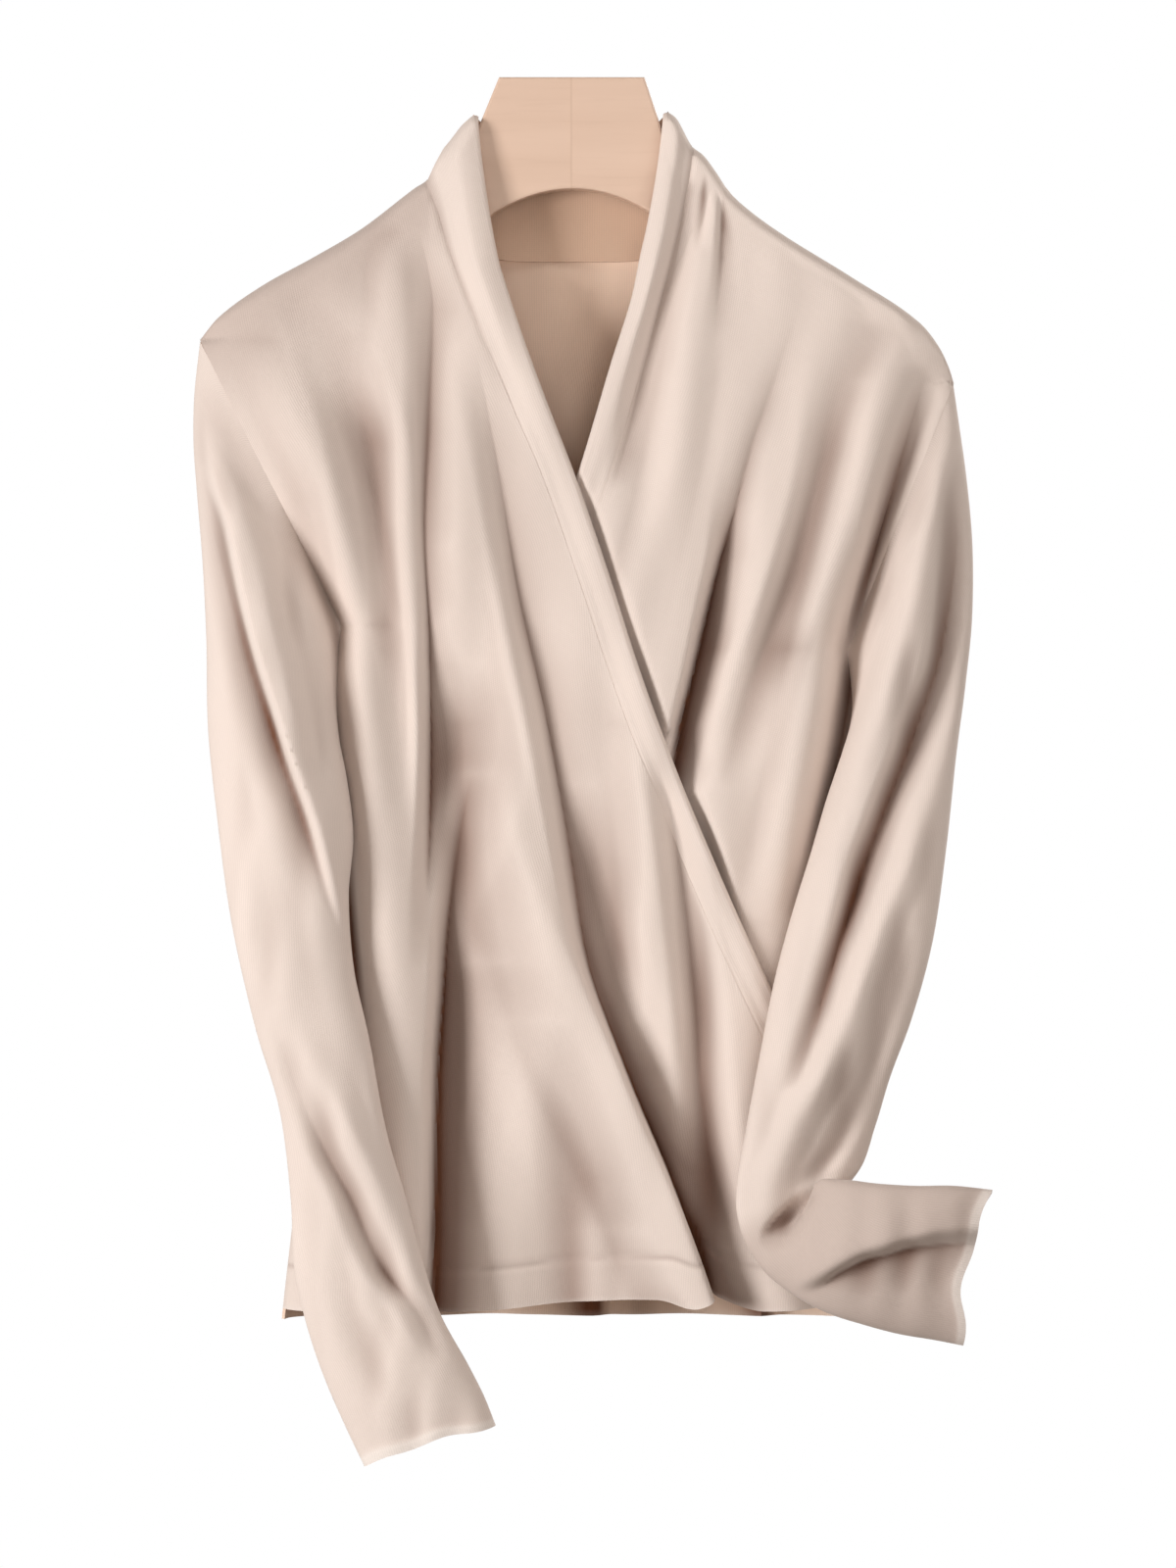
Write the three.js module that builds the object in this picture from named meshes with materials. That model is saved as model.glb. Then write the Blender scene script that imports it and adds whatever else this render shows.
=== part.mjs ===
// A knitted wrap top with long sleeves, hanging on the wooden hanger that holds it.
// Millimetres. X runs to the viewer's right, Y runs away from the front, Z is up.
// The origin is the middle of the hanger's flat top edge, where the hanger is held.
import * as THREE from "three";

// ---- Driving dimensions ----
const WALL = 2; // thickness of every cloth wall
const SEAM_GAP = 0.9; // from a piece's middle surface to the seam it shares
const HANGER_CLEARANCE = 9.6; // least depth of the cloth that lies in front of or behind the hanger
const LAYER_GAP = 6; // from the top front to the front under it, middle to middle
const HANGER_THICK = 14;
const HANGER_BEVEL = 1.2;
const SHOULDER_ROUND = 12; // radius of the cloth where it turns over the hanger's arm
const SIDE_ROUND = 58; // width over which a front or a back turns in to its side seam
const ARMHOLE_FRONT = 24; // how far the armhole opens in front of the hanger's middle plane
const ARMHOLE_BACK = 20;
const ARMHOLE_GAP = 1.8; // from the armhole line to the middle of the sleeve's first ring, twice that at the underarm
const TIP = { left: { x: -189, z: -134 }, right: { x: 192, z: -142 } };
const UNDERARM = { left: { x: -116, z: -280 }, right: { x: 141, z: -292 } };

// Where the shoulder seam meets the neckband's seam, and the neckband's edge there.
const NECK_POINT = { left: { x: -73, z: -54 }, right: { x: 61.5, z: -38 } };
const COLLAR_TOP = { left: { x: -48, z: -20 }, right: { x: 47.5, z: -18.5 } };

const PANEL_ROWS = 34;
const OVER_COLUMNS = 15;
const UNDER_COLUMNS = 13;
const BACK_ROWS = 18;
const BACK_COLUMNS = 16;
const BAND_COLUMNS = 4;
const RING_POINTS = 18;

// ---- Tables: a row for each height or each section ----
// Side seams below the underarms.
const SIDE_SEAMS = [
  { z: -292, left: -115, right: 141 },
  { z: -320, left: -115.5, right: 140 },
  { z: -360, left: -114, right: 133 },
  { z: -400, left: -117, right: 129 },
  { z: -450, left: -124, right: 130 },
  { z: -520, left: -133, right: 136 },
  { z: -580, left: -141, right: 141 },
  { z: -632, left: -147, right: 145 },
];

// How far the body stands in front of and behind the hanger's middle plane.
const BODY_DEPTH = [
  { z: -20, front: 11, back: 11 },
  { z: -90, front: 16, back: 14 },
  { z: -150, front: 25, back: 19 },
  { z: -210, front: 34, back: 25 },
  { z: -280, front: 40, back: 31 },
  { z: -400, front: 43, back: 34 },
  { z: -520, front: 41, back: 34 },
  { z: -640, front: 37, back: 32 },
];

// The outline of both shoulders and of the collar's outer edge, left to right.
const SHOULDERS = [
  { x: -189, z: -134 },
  { x: -179.5, z: -122.5 },
  { x: -157.5, z: -106.5 },
  { x: -131, z: -91.8 },
  { x: -107.6, z: -78 },
  { x: -80, z: -57 },
  { x: -73, z: -52 },
  { x: -69, z: -42 },
  { x: -62, z: -33 },
  { x: -52, z: -21 },
  { x: -44, z: -16 },
  { x: 44, z: -16 },
  { x: 52, z: -20 },
  { x: 61, z: -35 },
  { x: 67, z: -40 },
  { x: 73, z: -48 },
  { x: 80, z: -58.4 },
  { x: 91, z: -68.5 },
  { x: 107, z: -80 },
  { x: 142.5, z: -102 },
  { x: 177.5, z: -125.5 },
  { x: 192, z: -142 },
];

// Neck edges and the seams that join a neckband to its front.
const OVER_NECK = [
  { z: -54, edge: -48.5, seam: -73 },
  { z: -70, edge: -44.5, seam: -67 },
  { z: -90, edge: -39, seam: -61 },
  { z: -114, edge: -31.5, seam: -52 },
  { z: -138, edge: -23.5, seam: -42.5 },
  { z: -168, edge: -12.5, seam: -30 },
  { z: -202, edge: 0.5, seam: -15.5 },
  { z: -254, edge: 18.3, seam: 3 },
  { z: -300, edge: 33, seam: 18 },
  { z: -349, edge: 50.8, seam: 36 },
  { z: -412, edge: 77, seam: 62 },
  { z: -464, edge: 100.5, seam: 85 },
  { z: -520, edge: 127, seam: 111 },
];
const UNDER_NECK = [
  { z: -38, edge: 46.5, seam: 61.5 },
  { z: -56, edge: 44, seam: 58.5 },
  { z: -90, edge: 36, seam: 51 },
  { z: -112, edge: 31.5, seam: 45 },
  { z: -146, edge: 21, seam: 36 },
  { z: -202, edge: 4.3, seam: 20 },
  { z: -280, edge: -24, seam: -8 },
  { z: -360, edge: -56, seam: -40 },
  { z: -420, edge: -84, seam: -68 },
  { z: -460, edge: -106, seam: -90 },
  { z: -500, edge: -130, seam: -114 },
];

// Lower edge of the fronts, left to right.
const FRONT_HEM = [
  { x: -147, z: -627 },
  { x: -68, z: -627 },
  { x: 5, z: -621.5 },
  { x: 50, z: -619.5 },
  { x: 98, z: -624 },
  { x: 145, z: -622 },
];

// Folds of the fronts: rise is towards the front, the path is x at each height.
const OVER_FOLDS = [
  { name: "deep crease from the shoulder", rise: -11, left: 13, right: 16,
    path: [{ z: -85, x: -78 }, { z: -175, x: -72.5 }, { z: -256, x: -75 }, { z: -395, x: -72 }] },
  { name: "deep crease to the hem", rise: -13, left: 11, right: 14,
    path: [{ z: -385, x: -57 }, { z: -463, x: -65 }, { z: -560, x: -68 }, { z: -640, x: -70 }] },
  { name: "crease from the neck, top", rise: -8, left: 13, right: 14,
    path: [{ z: -160, x: -48 }, { z: -263, x: -31 }, { z: -368, x: -9 }, { z: -440, x: 0 }] },
  { name: "recess behind the long fold", rise: -14, left: 9, right: 15,
    path: [{ z: -430, x: 6 }, { z: -509, x: 33 }, { z: -574, x: 60 }, { z: -640, x: 80 }] },
  { name: "crest of the long fold", rise: 11, left: 20, right: 12,
    path: [{ z: -330, x: -44 }, { z: -420, x: -18 }, { z: -509, x: 14 }, { z: -640, x: 58 }] },
  { name: "ridge under the sleeve", rise: 8, left: 16, right: 14,
    path: [{ z: -140, x: -152 }, { z: -219, x: -119 }, { z: -360, x: -99 }, { z: -540, x: -88 }] },
  { name: "ridge inside the first crease", rise: 6, left: 12, right: 14,
    path: [{ z: -120, x: -56 }, { z: -230, x: -52 }, { z: -320, x: -50 }] },
  { name: "trough above the hem at the right", rise: -7, left: 13, right: 13,
    path: [{ z: -368, x: 46 }, { z: -419, x: 56 }, { z: -510, x: 72 }] },
];
const UNDER_FOLDS = [
  { name: "deep crease from the shoulder", rise: -10, left: 14, right: 16,
    path: [{ z: -150, x: 104 }, { z: -219, x: 83 }, { z: -285, x: 66 }, { z: -350, x: 51 }] },
  { name: "second crease", rise: -6, left: 12, right: 15,
    path: [{ z: -150, x: 140 }, { z: -248, x: 113 }, { z: -340, x: 82 }] },
  { name: "ridge along the armhole", rise: 6, left: 12, right: 12,
    path: [{ z: -170, x: 160 }, { z: -260, x: 139 }, { z: -390, x: 112 }] },
  { name: "hollow behind the neckband", rise: -7, left: 6, right: 10,
    path: [{ z: -40, x: 64 }, { z: -109, x: 47 }, { z: -190, x: 27 }] },
];
const BACK_FOLDS = [
  { name: "left fall", rise: -7, left: 18, right: 18,
    path: [{ z: -110, x: -84 }, { z: -330, x: -70 }, { z: -640, x: -86 }] },
  { name: "middle fall", rise: -6, left: 22, right: 18,
    path: [{ z: -150, x: 12 }, { z: -400, x: 4 }, { z: -640, x: 10 }] },
  { name: "right fall", rise: -7, left: 18, right: 20,
    path: [{ z: -110, x: 92 }, { z: -330, x: 82 }, { z: -640, x: 96 }] },
];

// Sleeve sections from the armhole to the cuff: the outer and inner ends of each, and its half depth.
const LEFT_SLEEVE = [
  { ox: -191.5, oz: -160, ix: -123, iz: -294, y: -1, half: 24, lean: -4 },
  { ox: -192, oz: -184, ix: -125.5, iz: -306, y: -4, half: 26, lean: -12 },
  { ox: -190, oz: -212, ix: -123, iz: -320, y: -8, half: 27, lean: -20 },
  { ox: -187, oz: -245, ix: -118, iz: -337, y: -14, half: 26, lean: -24 },
  { ox: -184.5, oz: -285, ix: -114.5, iz: -357, y: -22, half: 25, lean: -22 },
  { ox: -183, oz: -332, ix: -112, iz: -386, y: -32, half: 23, lean: -18 },
  { ox: -177.5, oz: -379, ix: -115.5, iz: -416, y: -42, half: 21, lean: -10 },
  { ox: -170, oz: -429, ix: -111.5, iz: -452, y: -52, half: 20, lean: 0 },
  { ox: -158, oz: -481, ix: -102, iz: -488, y: -58, half: 19, lean: 0 },
  { ox: -145, oz: -525, ix: -93, iz: -535, y: -61, half: 18, lean: 0 },
  { ox: -139.5, oz: -570, ix: -83, iz: -569, y: -62, half: 17, lean: 0 },
  { ox: -138, oz: -602, ix: -75, iz: -599, y: -62, half: 17, lean: 0 },
  { ox: -132, oz: -630, ix: -66, iz: -626, y: -61, half: 17, lean: 0 },
  { ox: -122, oz: -660, ix: -52, iz: -652, y: -60, half: 17, lean: 0 },
  { ox: -112, oz: -683, ix: -44, iz: -668, y: -59, half: 17, lean: 0 },
  { ox: -103, oz: -702, ix: -38.5, iz: -684, y: -58, half: 16, lean: 0 },
];
const RIGHT_SLEEVE = [
  { ox: 197, oz: -170, ix: 145, iz: -304, y: -1, half: 23, lean: -4 },
  { ox: 200.5, oz: -202, ix: 147, iz: -316, y: -4, half: 25, lean: -12 },
  { ox: 203.5, oz: -238, ix: 145.5, iz: -330, y: -10, half: 25, lean: -18 },
  { ox: 203, oz: -275, ix: 141, iz: -345, y: -17, half: 24, lean: -20 },
  { ox: 199.5, oz: -308, ix: 134, iz: -367, y: -26, half: 23, lean: -16 },
  { ox: 194, oz: -345, ix: 124, iz: -395, y: -36, half: 22, lean: -10 },
  { ox: 188.5, oz: -390, ix: 113, iz: -425, y: -46, half: 20, lean: -4 },
  { ox: 181, oz: -438, ix: 103, iz: -458, y: -55, half: 19, lean: 0 },
  { ox: 170, oz: -478, ix: 95, iz: -498, y: -59, half: 18, lean: 0 },
  { ox: 159, oz: -508, ix: 88, iz: -535, y: -60, half: 15, lean: -4 },
  { ox: 152, oz: -532, ix: 84, iz: -558, y: -59, half: 12, lean: -10 },
  { ox: 144, oz: -554, ix: 84, iz: -576, y: -59, half: 10, lean: -14 },
  { ox: 131, oz: -567, ix: 89, iz: -591, y: -63, half: 9, lean: -12 },
  { ox: 121, oz: -568, ix: 98, iz: -604, y: -71, half: 9, lean: -4 },
  { ox: 123, oz: -559, ix: 111, iz: -614, y: -79, half: 10, lean: 3 },
  { ox: 136, oz: -557.5, ix: 128, iz: -623, y: -85, half: 13, lean: 4 },
  { ox: 152, oz: -559, ix: 146, iz: -629, y: -88, half: 15, lean: 3 },
  { ox: 171, oz: -560, ix: 164, iz: -634, y: -88, half: 15, lean: 2 },
  { ox: 190, oz: -560, ix: 181, iz: -637, y: -87, half: 15, lean: 2 },
  { ox: 209, oz: -562, ix: 196, iz: -640, y: -85, half: 14, lean: 2 },
];

// The front lobe of the left sleeve ends at this line and overlaps the lobe behind it.
const LEFT_LOBE = { rise: 9, soft: 9, path: [{ z: -180, x: -187 }, { z: -280, x: -161 }, { z: -421, x: -118 }] };
const RIGHT_TROUGH = { rise: -8, soft: 14, path: [{ z: -200, x: 196 }, { z: -300, x: 181 }, { z: -490, x: 119 }] };

// ---- Reading the tables ----
const clamp01 = (v) => Math.min(1, Math.max(0, v));
const mix = (a, b, t) => a + (b - a) * t;
const ease = (v) => clamp01(v) ** 2 * (3 - 2 * clamp01(v));

// The value of one column of a table at a key, with straight ends and a smooth middle.
function look(rows, key, at, column) {
  const up = rows[rows.length - 1][key] > rows[0][key] ? 1 : -1;
  let i = 0;
  while (i < rows.length - 2 && (at - rows[i + 1][key]) * up > 0) i += 1;
  const slope = (a, b) => (rows[b][column] - rows[a][column]) / (rows[b][key] - rows[a][key]);
  const tangent = (k) => {
    if (k === 0 || k === rows.length - 1) return slope(k ? k - 1 : 0, k ? k : 1);
    const [before, after] = [slope(k - 1, k), slope(k, k + 1)];
    return before * after <= 0 ? 0 : (2 * before * after) / (before + after);
  };
  const [a, b] = [rows[i], rows[i + 1]];
  const span = b[key] - a[key];
  const t = (at - a[key]) / span;
  if (t <= 0) return a[column] + tangent(i) * (at - a[key]) * (i === 0 ? 1 : 0);
  if (t >= 1) return b[column] + tangent(i + 1) * (at - b[key]);
  const [t2, t3] = [t * t, t * t * t];
  return (
    (2 * t3 - 3 * t2 + 1) * a[column] + (t3 - 2 * t2 + t) * span * tangent(i) +
    (3 * t2 - 2 * t3) * b[column] + (t3 - t2) * span * tangent(i + 1)
  );
}

// ---- The body's form ----
// The armhole line above the underarm and the side seam below it.
function sideX(z, hand) {
  const [tip, arm] = [TIP[hand], UNDERARM[hand]];
  if (z >= tip.z) return tip.x;
  if (z >= arm.z) return mix(tip.x, arm.x, (z - tip.z) / (arm.z - tip.z));
  const seam = look(SIDE_SEAMS, "z", Math.min(z, SIDE_SEAMS[0].z), hand);
  return mix(arm.x, seam, clamp01((arm.z - z) / (arm.z - SIDE_SEAMS[0].z || 1)));
}

const shoulderZ = (x) => look(SHOULDERS, "x", x, "z");

// How far the armhole stands open at a height, nothing at the tip and at the underarm.
function armholeDepth(z, hand, most) {
  const v = (z - TIP[hand].z) / (UNDERARM[hand].z - TIP[hand].z);
  return v <= 0 || v >= 1 ? 0 : most * Math.sin(Math.PI * v) ** 0.7;
}

// Depth that the cloth has where it turns over the hanger's arm and falls from it.
function shoulderDepth(x, z) {
  const below = Math.max(0, shoulderZ(x) - z);
  const over = Math.max(0, 1 - below / SHOULDER_ROUND);
  return SHOULDER_ROUND * Math.sqrt(1 - over * over) + 0.25 * Math.max(0, below - SHOULDER_ROUND);
}

// Depth of a front (or a back) from the hanger's middle plane, before its folds.
function depth(x, z, side) {
  const hand = x < 12 ? "left" : "right";
  const away = clamp01(Math.abs(x - sideX(z, hand)) / SIDE_ROUND);
  const most = side === "front" ? ARMHOLE_FRONT : ARMHOLE_BACK;
  const full = look(BODY_DEPTH, "z", z, side);
  const edge = armholeDepth(z, hand, most);
  const seam = (1 - (1 - away) ** 2.2) ** (1 / 2.2);
  const armhole = 1 - (1 - away) ** 2;
  const closed = ease((UNDERARM[hand].z + 50 - z) / 50);
  const body = z > TIP[hand].z ? full : edge + (full - edge) * mix(armhole, seam, closed);
  return Math.min(body, shoulderDepth(x, z)) + SEAM_GAP;
}

// A depth that keeps the cloth off the hanger's board.
function clearOfHanger(x, z, own) {
  return z < -150 ? own : Math.max(own, Math.min(shoulderDepth(x, z), HANGER_CLEARANCE));
}

// Height of the folds of a panel at a point, fading out towards the ends of each path.
function foldRise(folds, x, z) {
  let rise = 0;
  for (const fold of folds) {
    const [top, low] = [fold.path[0].z, fold.path[fold.path.length - 1].z];
    const offset = x - look(fold.path, "z", z, "x");
    const reach = clamp01(1 - Math.abs(offset) / ((offset < 0 ? fold.left : fold.right) * 1.6));
    const ends = ease((top + 20 - z) / 45) * (low < -625 ? 1 : ease((z - low + 20) / 45));
    rise += fold.rise * ease(reach) * ends;
  }
  return rise;
}

// A front's folds fade out beside the armhole, the side seam and the shoulder.
function seamFade(x, z) {
  const side = Math.min(Math.abs(x - sideX(z, "left")), Math.abs(x - sideX(z, "right")));
  return ease((side - 2) / 16) * ease((shoulderZ(x) - z - 2) / 22);
}

function overFront(x, z) {
  return clearOfHanger(x, z, depth(x, z, "front") + foldRise(OVER_FOLDS, x, z) * seamFade(x, z));
}

// The front under the top one stays behind it as far as the top one's neck edge.
function underFront(x, z) {
  const plain = depth(x, z, "front");
  const set = plain - 3 * clamp01((plain - 1) / 12);
  const own = clearOfHanger(x, z, set + foldRise(UNDER_FOLDS, x, z) * seamFade(x, z));
  const edge = look(OVER_NECK, "z", z, "edge");
  const past = Math.max(0, x - edge - 2);
  if (z > -150 || past > 24) return own;
  const reach = 7;
  const near = [-reach, 0, reach].map((dx) => overFront(Math.min(x + dx, edge), z));
  const limit = Math.min(...near) - LAYER_GAP + past * 1.2;
  return Math.min(own, limit);
}

function backDepth(x, z) {
  return clearOfHanger(x, z, depth(x, z, "back") + foldRise(BACK_FOLDS, x, z) * seamFade(x, z));
}

// ---- Making closed walls from grids of points ----
// A wall of even thickness about a grid; a closed grid is a tube, whose columns meet.
function wall(grid, closed, thick = WALL) {
  const rows = grid.length;
  const columns = grid[0].length;
  const at = (r, c) => grid[Math.min(rows - 1, Math.max(0, r))][
    closed ? (c + columns) % columns : Math.min(columns - 1, Math.max(0, c))];
  const points = [];
  for (const sign of [1, -1]) {
    for (let r = 0; r < rows; r += 1) {
      for (let c = 0; c < columns; c += 1) {
        const down = at(r + 1, c).clone().sub(at(r - 1, c));
        const across = at(r, c + 1).clone().sub(at(r, c - 1));
        const normal = across.cross(down).normalize();
        points.push(at(r, c).clone().addScaledVector(normal, (sign * thick) / 2));
      }
    }
  }
  const index = (layer, r, c) => layer * rows * columns + r * columns + (c % columns);
  const faces = [];
  const quad = (a, b, c, d) => faces.push(a, b, c, a, c, d);
  const across = closed ? columns : columns - 1;
  for (let r = 0; r < rows - 1; r += 1) {
    for (let c = 0; c < across; c += 1) {
      quad(index(0, r, c), index(0, r, c + 1), index(0, r + 1, c + 1), index(0, r + 1, c));
      quad(index(1, r, c), index(1, r + 1, c), index(1, r + 1, c + 1), index(1, r, c + 1));
    }
  }
  for (let c = 0; c < across; c += 1) {
    quad(index(0, 0, c), index(1, 0, c), index(1, 0, c + 1), index(0, 0, c + 1));
    quad(index(0, rows - 1, c), index(0, rows - 1, c + 1), index(1, rows - 1, c + 1), index(1, rows - 1, c));
  }
  if (!closed) {
    const last = columns - 1;
    for (let r = 0; r < rows - 1; r += 1) {
      quad(index(0, r, 0), index(0, r + 1, 0), index(1, r + 1, 0), index(1, r, 0));
      quad(index(0, r, last), index(1, r, last), index(1, r + 1, last), index(0, r + 1, last));
    }
  }
  return facingOut(points, faces);
}

// The geometry of a closed body, turned so that its faces point outwards.
function facingOut(points, faces) {
  let volume = 0;
  for (let i = 0; i < faces.length; i += 3) {
    const [a, b, c] = [points[faces[i]], points[faces[i + 1]], points[faces[i + 2]]];
    volume += a.dot(b.clone().cross(c));
  }
  const order = volume < 0 ? faces.toReversed() : faces;
  const geometry = new THREE.BufferGeometry().setFromPoints(points);
  geometry.setIndex(order);
  geometry.computeVertexNormals();
  return geometry;
}

// Steps from 0 to 1 that crowd a little towards both ends.
const spread = (count) => Array.from({ length: count + 1 }, (_, i) => {
  const t = i / count;
  return mix(t, 0.5 - 0.5 * Math.cos(Math.PI * t), 0.55);
});

// A panel hung from its top line: each column runs from the shoulder to the hem.
function panelGrid({ columns, rows, leftX, rightX, topZ, hemZ, surfaceY }) {
  const fall = Array.from({ length: rows + 1 }, (_, i) => (i / rows) ** 1.25);
  const across = spread(columns);
  return fall.map((t) => across.map((s) => {
    let x = mix(leftX(-90), rightX(-90), s);
    let top = topZ(x);
    for (let pass = 0; pass < 12; pass += 1) {
      x = mix(leftX(top), rightX(top), s);
      top = topZ(x);
    }
    let z = top;
    for (let pass = 0; pass < 4; pass += 1) {
      z = mix(top, hemZ(x), t);
      x = mix(leftX(z), rightX(z), s);
    }
    return new THREE.Vector3(x, surfaceY(x, z), z);
  }));
}

// ---- The pieces ----
const frontHemZ = (x) => look(FRONT_HEM, "x", x, "z");
const overSeamX = (z) => Math.min(look(OVER_NECK, "z", z, "seam"), sideX(z, "right"));
const overEdgeX = (z) => look(OVER_NECK, "z", z, "edge");
const underSeamX = (z) => Math.max(look(UNDER_NECK, "z", z, "seam"), sideX(z, "left") + underInset(z));
const underEdgeX = (z) => look(UNDER_NECK, "z", z, "edge");
// Where both fronts are sewn into one side seam, the one under lies inside the top one.
const underInset = (z) => 6 * ease((-440 - z) / 30);

function frontOver() {
  return wall(panelGrid({
    columns: OVER_COLUMNS,
    rows: PANEL_ROWS,
    leftX: (z) => sideX(z, "left"),
    rightX: (z) => (z > NECK_POINT.left.z ? NECK_POINT.left.x : overSeamX(z)),
    topZ: (x) => shoulderZ(Math.min(x, NECK_POINT.left.x)),
    hemZ: frontHemZ,
    surfaceY: (x, z) => -overFront(x, z),
  }), false);
}

function frontUnder() {
  return wall(panelGrid({
    columns: UNDER_COLUMNS,
    rows: PANEL_ROWS,
    leftX: (z) => (z > NECK_POINT.right.z ? NECK_POINT.right.x : underSeamX(z)),
    rightX: (z) => sideX(z, "right") - underInset(z),
    topZ: (x) => shoulderZ(Math.max(x, NECK_POINT.right.x)) - 0.5,
    hemZ: (x) => frontHemZ(x) + 3,
    surfaceY: (x, z) => -underFront(x, z),
  }), false);
}

// The seam between the back and its neckband, and that band's upper edge.
const NAPE = { x: 73, side: -52, seam: -91, edge: -40, turn: 14 };
const backSeamZ = (x) => (
  Math.abs(x) > NAPE.x ? shoulderZ(x) : mix(NAPE.seam, NAPE.side, Math.abs(x / NAPE.x) ** 2.2));
// The back stands off the hanger behind the neck, and turns in to the shoulder seams beside it.
const napeDepth = (x) => 12 * ease((NAPE.x - Math.abs(x)) / NAPE.turn);

function back() {
  return wall(panelGrid({
    columns: BACK_COLUMNS,
    rows: BACK_ROWS,
    leftX: (z) => sideX(z, "left"),
    rightX: (z) => sideX(z, "right"),
    topZ: backSeamZ,
    hemZ: () => -631,
    surfaceY: (x, z) => Math.max(backDepth(x, z), napeDepth(x)),
  }), false);
}

// A neckband along a front: rolled forward a little between its seam and its edge.
function frontNeckband({ shoulder, seamX, edgeX, surface, from, to, hand }) {
  const toward = hand === "left" ? 1 : -1;
  const rows = 30;
  const grid = Array.from({ length: rows + 1 }, (_, r) => {
    const z = mix(from, to, r / rows);
    const lift = 1 - ease(r / 3);
    return Array.from({ length: BAND_COLUMNS + 1 }, (__, c) => {
      const w = c / BAND_COLUMNS;
      const seam = { x: seamX(z) + toward * 2.2 * SEAM_GAP, z };
      const edge = { x: mix(edgeX(z), shoulder.x, lift), z: mix(z, shoulder.z, lift) };
      const [x, height] = [mix(seam.x, edge.x, w), mix(seam.z, edge.z, w)];
      const roll = 3 * Math.sin(Math.PI * clamp01(w * 0.9 + 0.05)) ** 0.8 + 0.6 * w;
      return new THREE.Vector3(x, -(surface(x, height) + roll * ease(r / 2)), height);
    });
  });
  return wall(grid, false);
}

function neckbandOver() {
  return frontNeckband({
    shoulder: COLLAR_TOP.left,
    seamX: overSeamX,
    edgeX: overEdgeX,
    surface: overFront,
    from: NECK_POINT.left.z,
    to: -516,
    hand: "left",
  });
}

function neckbandUnder() {
  return frontNeckband({
    shoulder: COLLAR_TOP.right,
    seamX: (z) => look(UNDER_NECK, "z", z, "seam"),
    edgeX: underEdgeX,
    surface: (x, z) => underFront(x, z) - (z < -205 ? 3.2 : 0),
    from: NECK_POINT.right.z,
    to: -470,
    hand: "right",
  });
}

function neckbandBack() {
  const columns = 20;
  const grid = Array.from({ length: BAND_COLUMNS + 1 }, (_, r) => {
    const w = r / BAND_COLUMNS;
    return Array.from({ length: columns + 1 }, (__, c) => {
      const u = mix(-1, 1, c / columns);
      const hand = u < 0 ? "left" : "right";
      const seamX = u * (NAPE.x - 1);
      const edgeX = Math.abs(u) * (COLLAR_TOP[hand].x + Math.sign(u) * 1.8);
      const edgeZ = mix(NAPE.edge, COLLAR_TOP[hand].z + 1, Math.abs(u) ** 2.4);
      const turn = Math.sqrt(1 - Math.abs(u) ** 8);
      return new THREE.Vector3(mix(seamX, edgeX, w), 2 + 11 * turn, mix(backSeamZ(seamX) + 3.4, edgeZ, w));
    });
  });
  return wall(grid, false);
}

// A sleeve: rings from the armhole to the cuff, each round a chord from its outer to its inner end.
function sleeve(sections, hand, shape) {
  const [tip, arm] = [TIP[hand], UNDERARM[hand]];
  const outward = hand === "left" ? -1 : 1;
  const ring = (points) => Array.from({ length: RING_POINTS }, (_, i) => points(2 * Math.PI * (i / RING_POINTS)));
  const armhole = ring((turn) => {
    const v = 0.5 - 0.5 * Math.cos(turn);
    const z = mix(tip.z, arm.z, v);
    const most = turn < Math.PI ? ARMHOLE_FRONT : ARMHOLE_BACK;
    const open = armholeDepth(z, hand, most) + SEAM_GAP;
    const x = mix(tip.x, arm.x, v) + outward * ARMHOLE_GAP * (1 + v);
    return new THREE.Vector3(x, turn < Math.PI ? -open : open, z - 0.8);
  });
  const rings = sections.map((section) => ring((turn) => {
    const v = 0.5 - 0.5 * Math.cos(turn);
    const x = mix(section.ox, section.ix, v);
    const z = mix(section.oz, section.iz, v);
    const bulge = section.half * Math.abs(Math.sin(turn)) ** 0.85;
    const lean = section.lean * (0.5 - v);
    const front = turn < Math.PI;
    const y = section.y - lean + (front ? -bulge : bulge);
    return new THREE.Vector3(x, y - (front ? shape(x, z) * Math.sin(turn) : 0), z);
  }));
  return wall([armhole, ...rings], true);
}

function sleeveLeft() {
  return sleeve(LEFT_SLEEVE, "left", (x, z) => {
    const line = look(LEFT_LOBE.path, "z", z, "x");
    const within = ease((-170 - z) / 60) * ease((z + 440) / 50);
    return -LEFT_LOBE.rise * ease((x - line) / LEFT_LOBE.soft) * within;
  });
}

function sleeveRight() {
  return sleeve(RIGHT_SLEEVE, "right", (x, z) => {
    const offset = Math.abs(x - look(RIGHT_TROUGH.path, "z", z, "x"));
    const within = ease((-190 - z) / 60) * ease((z + 520) / 60);
    return RIGHT_TROUGH.rise * ease(1 - offset / (RIGHT_TROUGH.soft * 1.6)) * within;
  });
}

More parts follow.
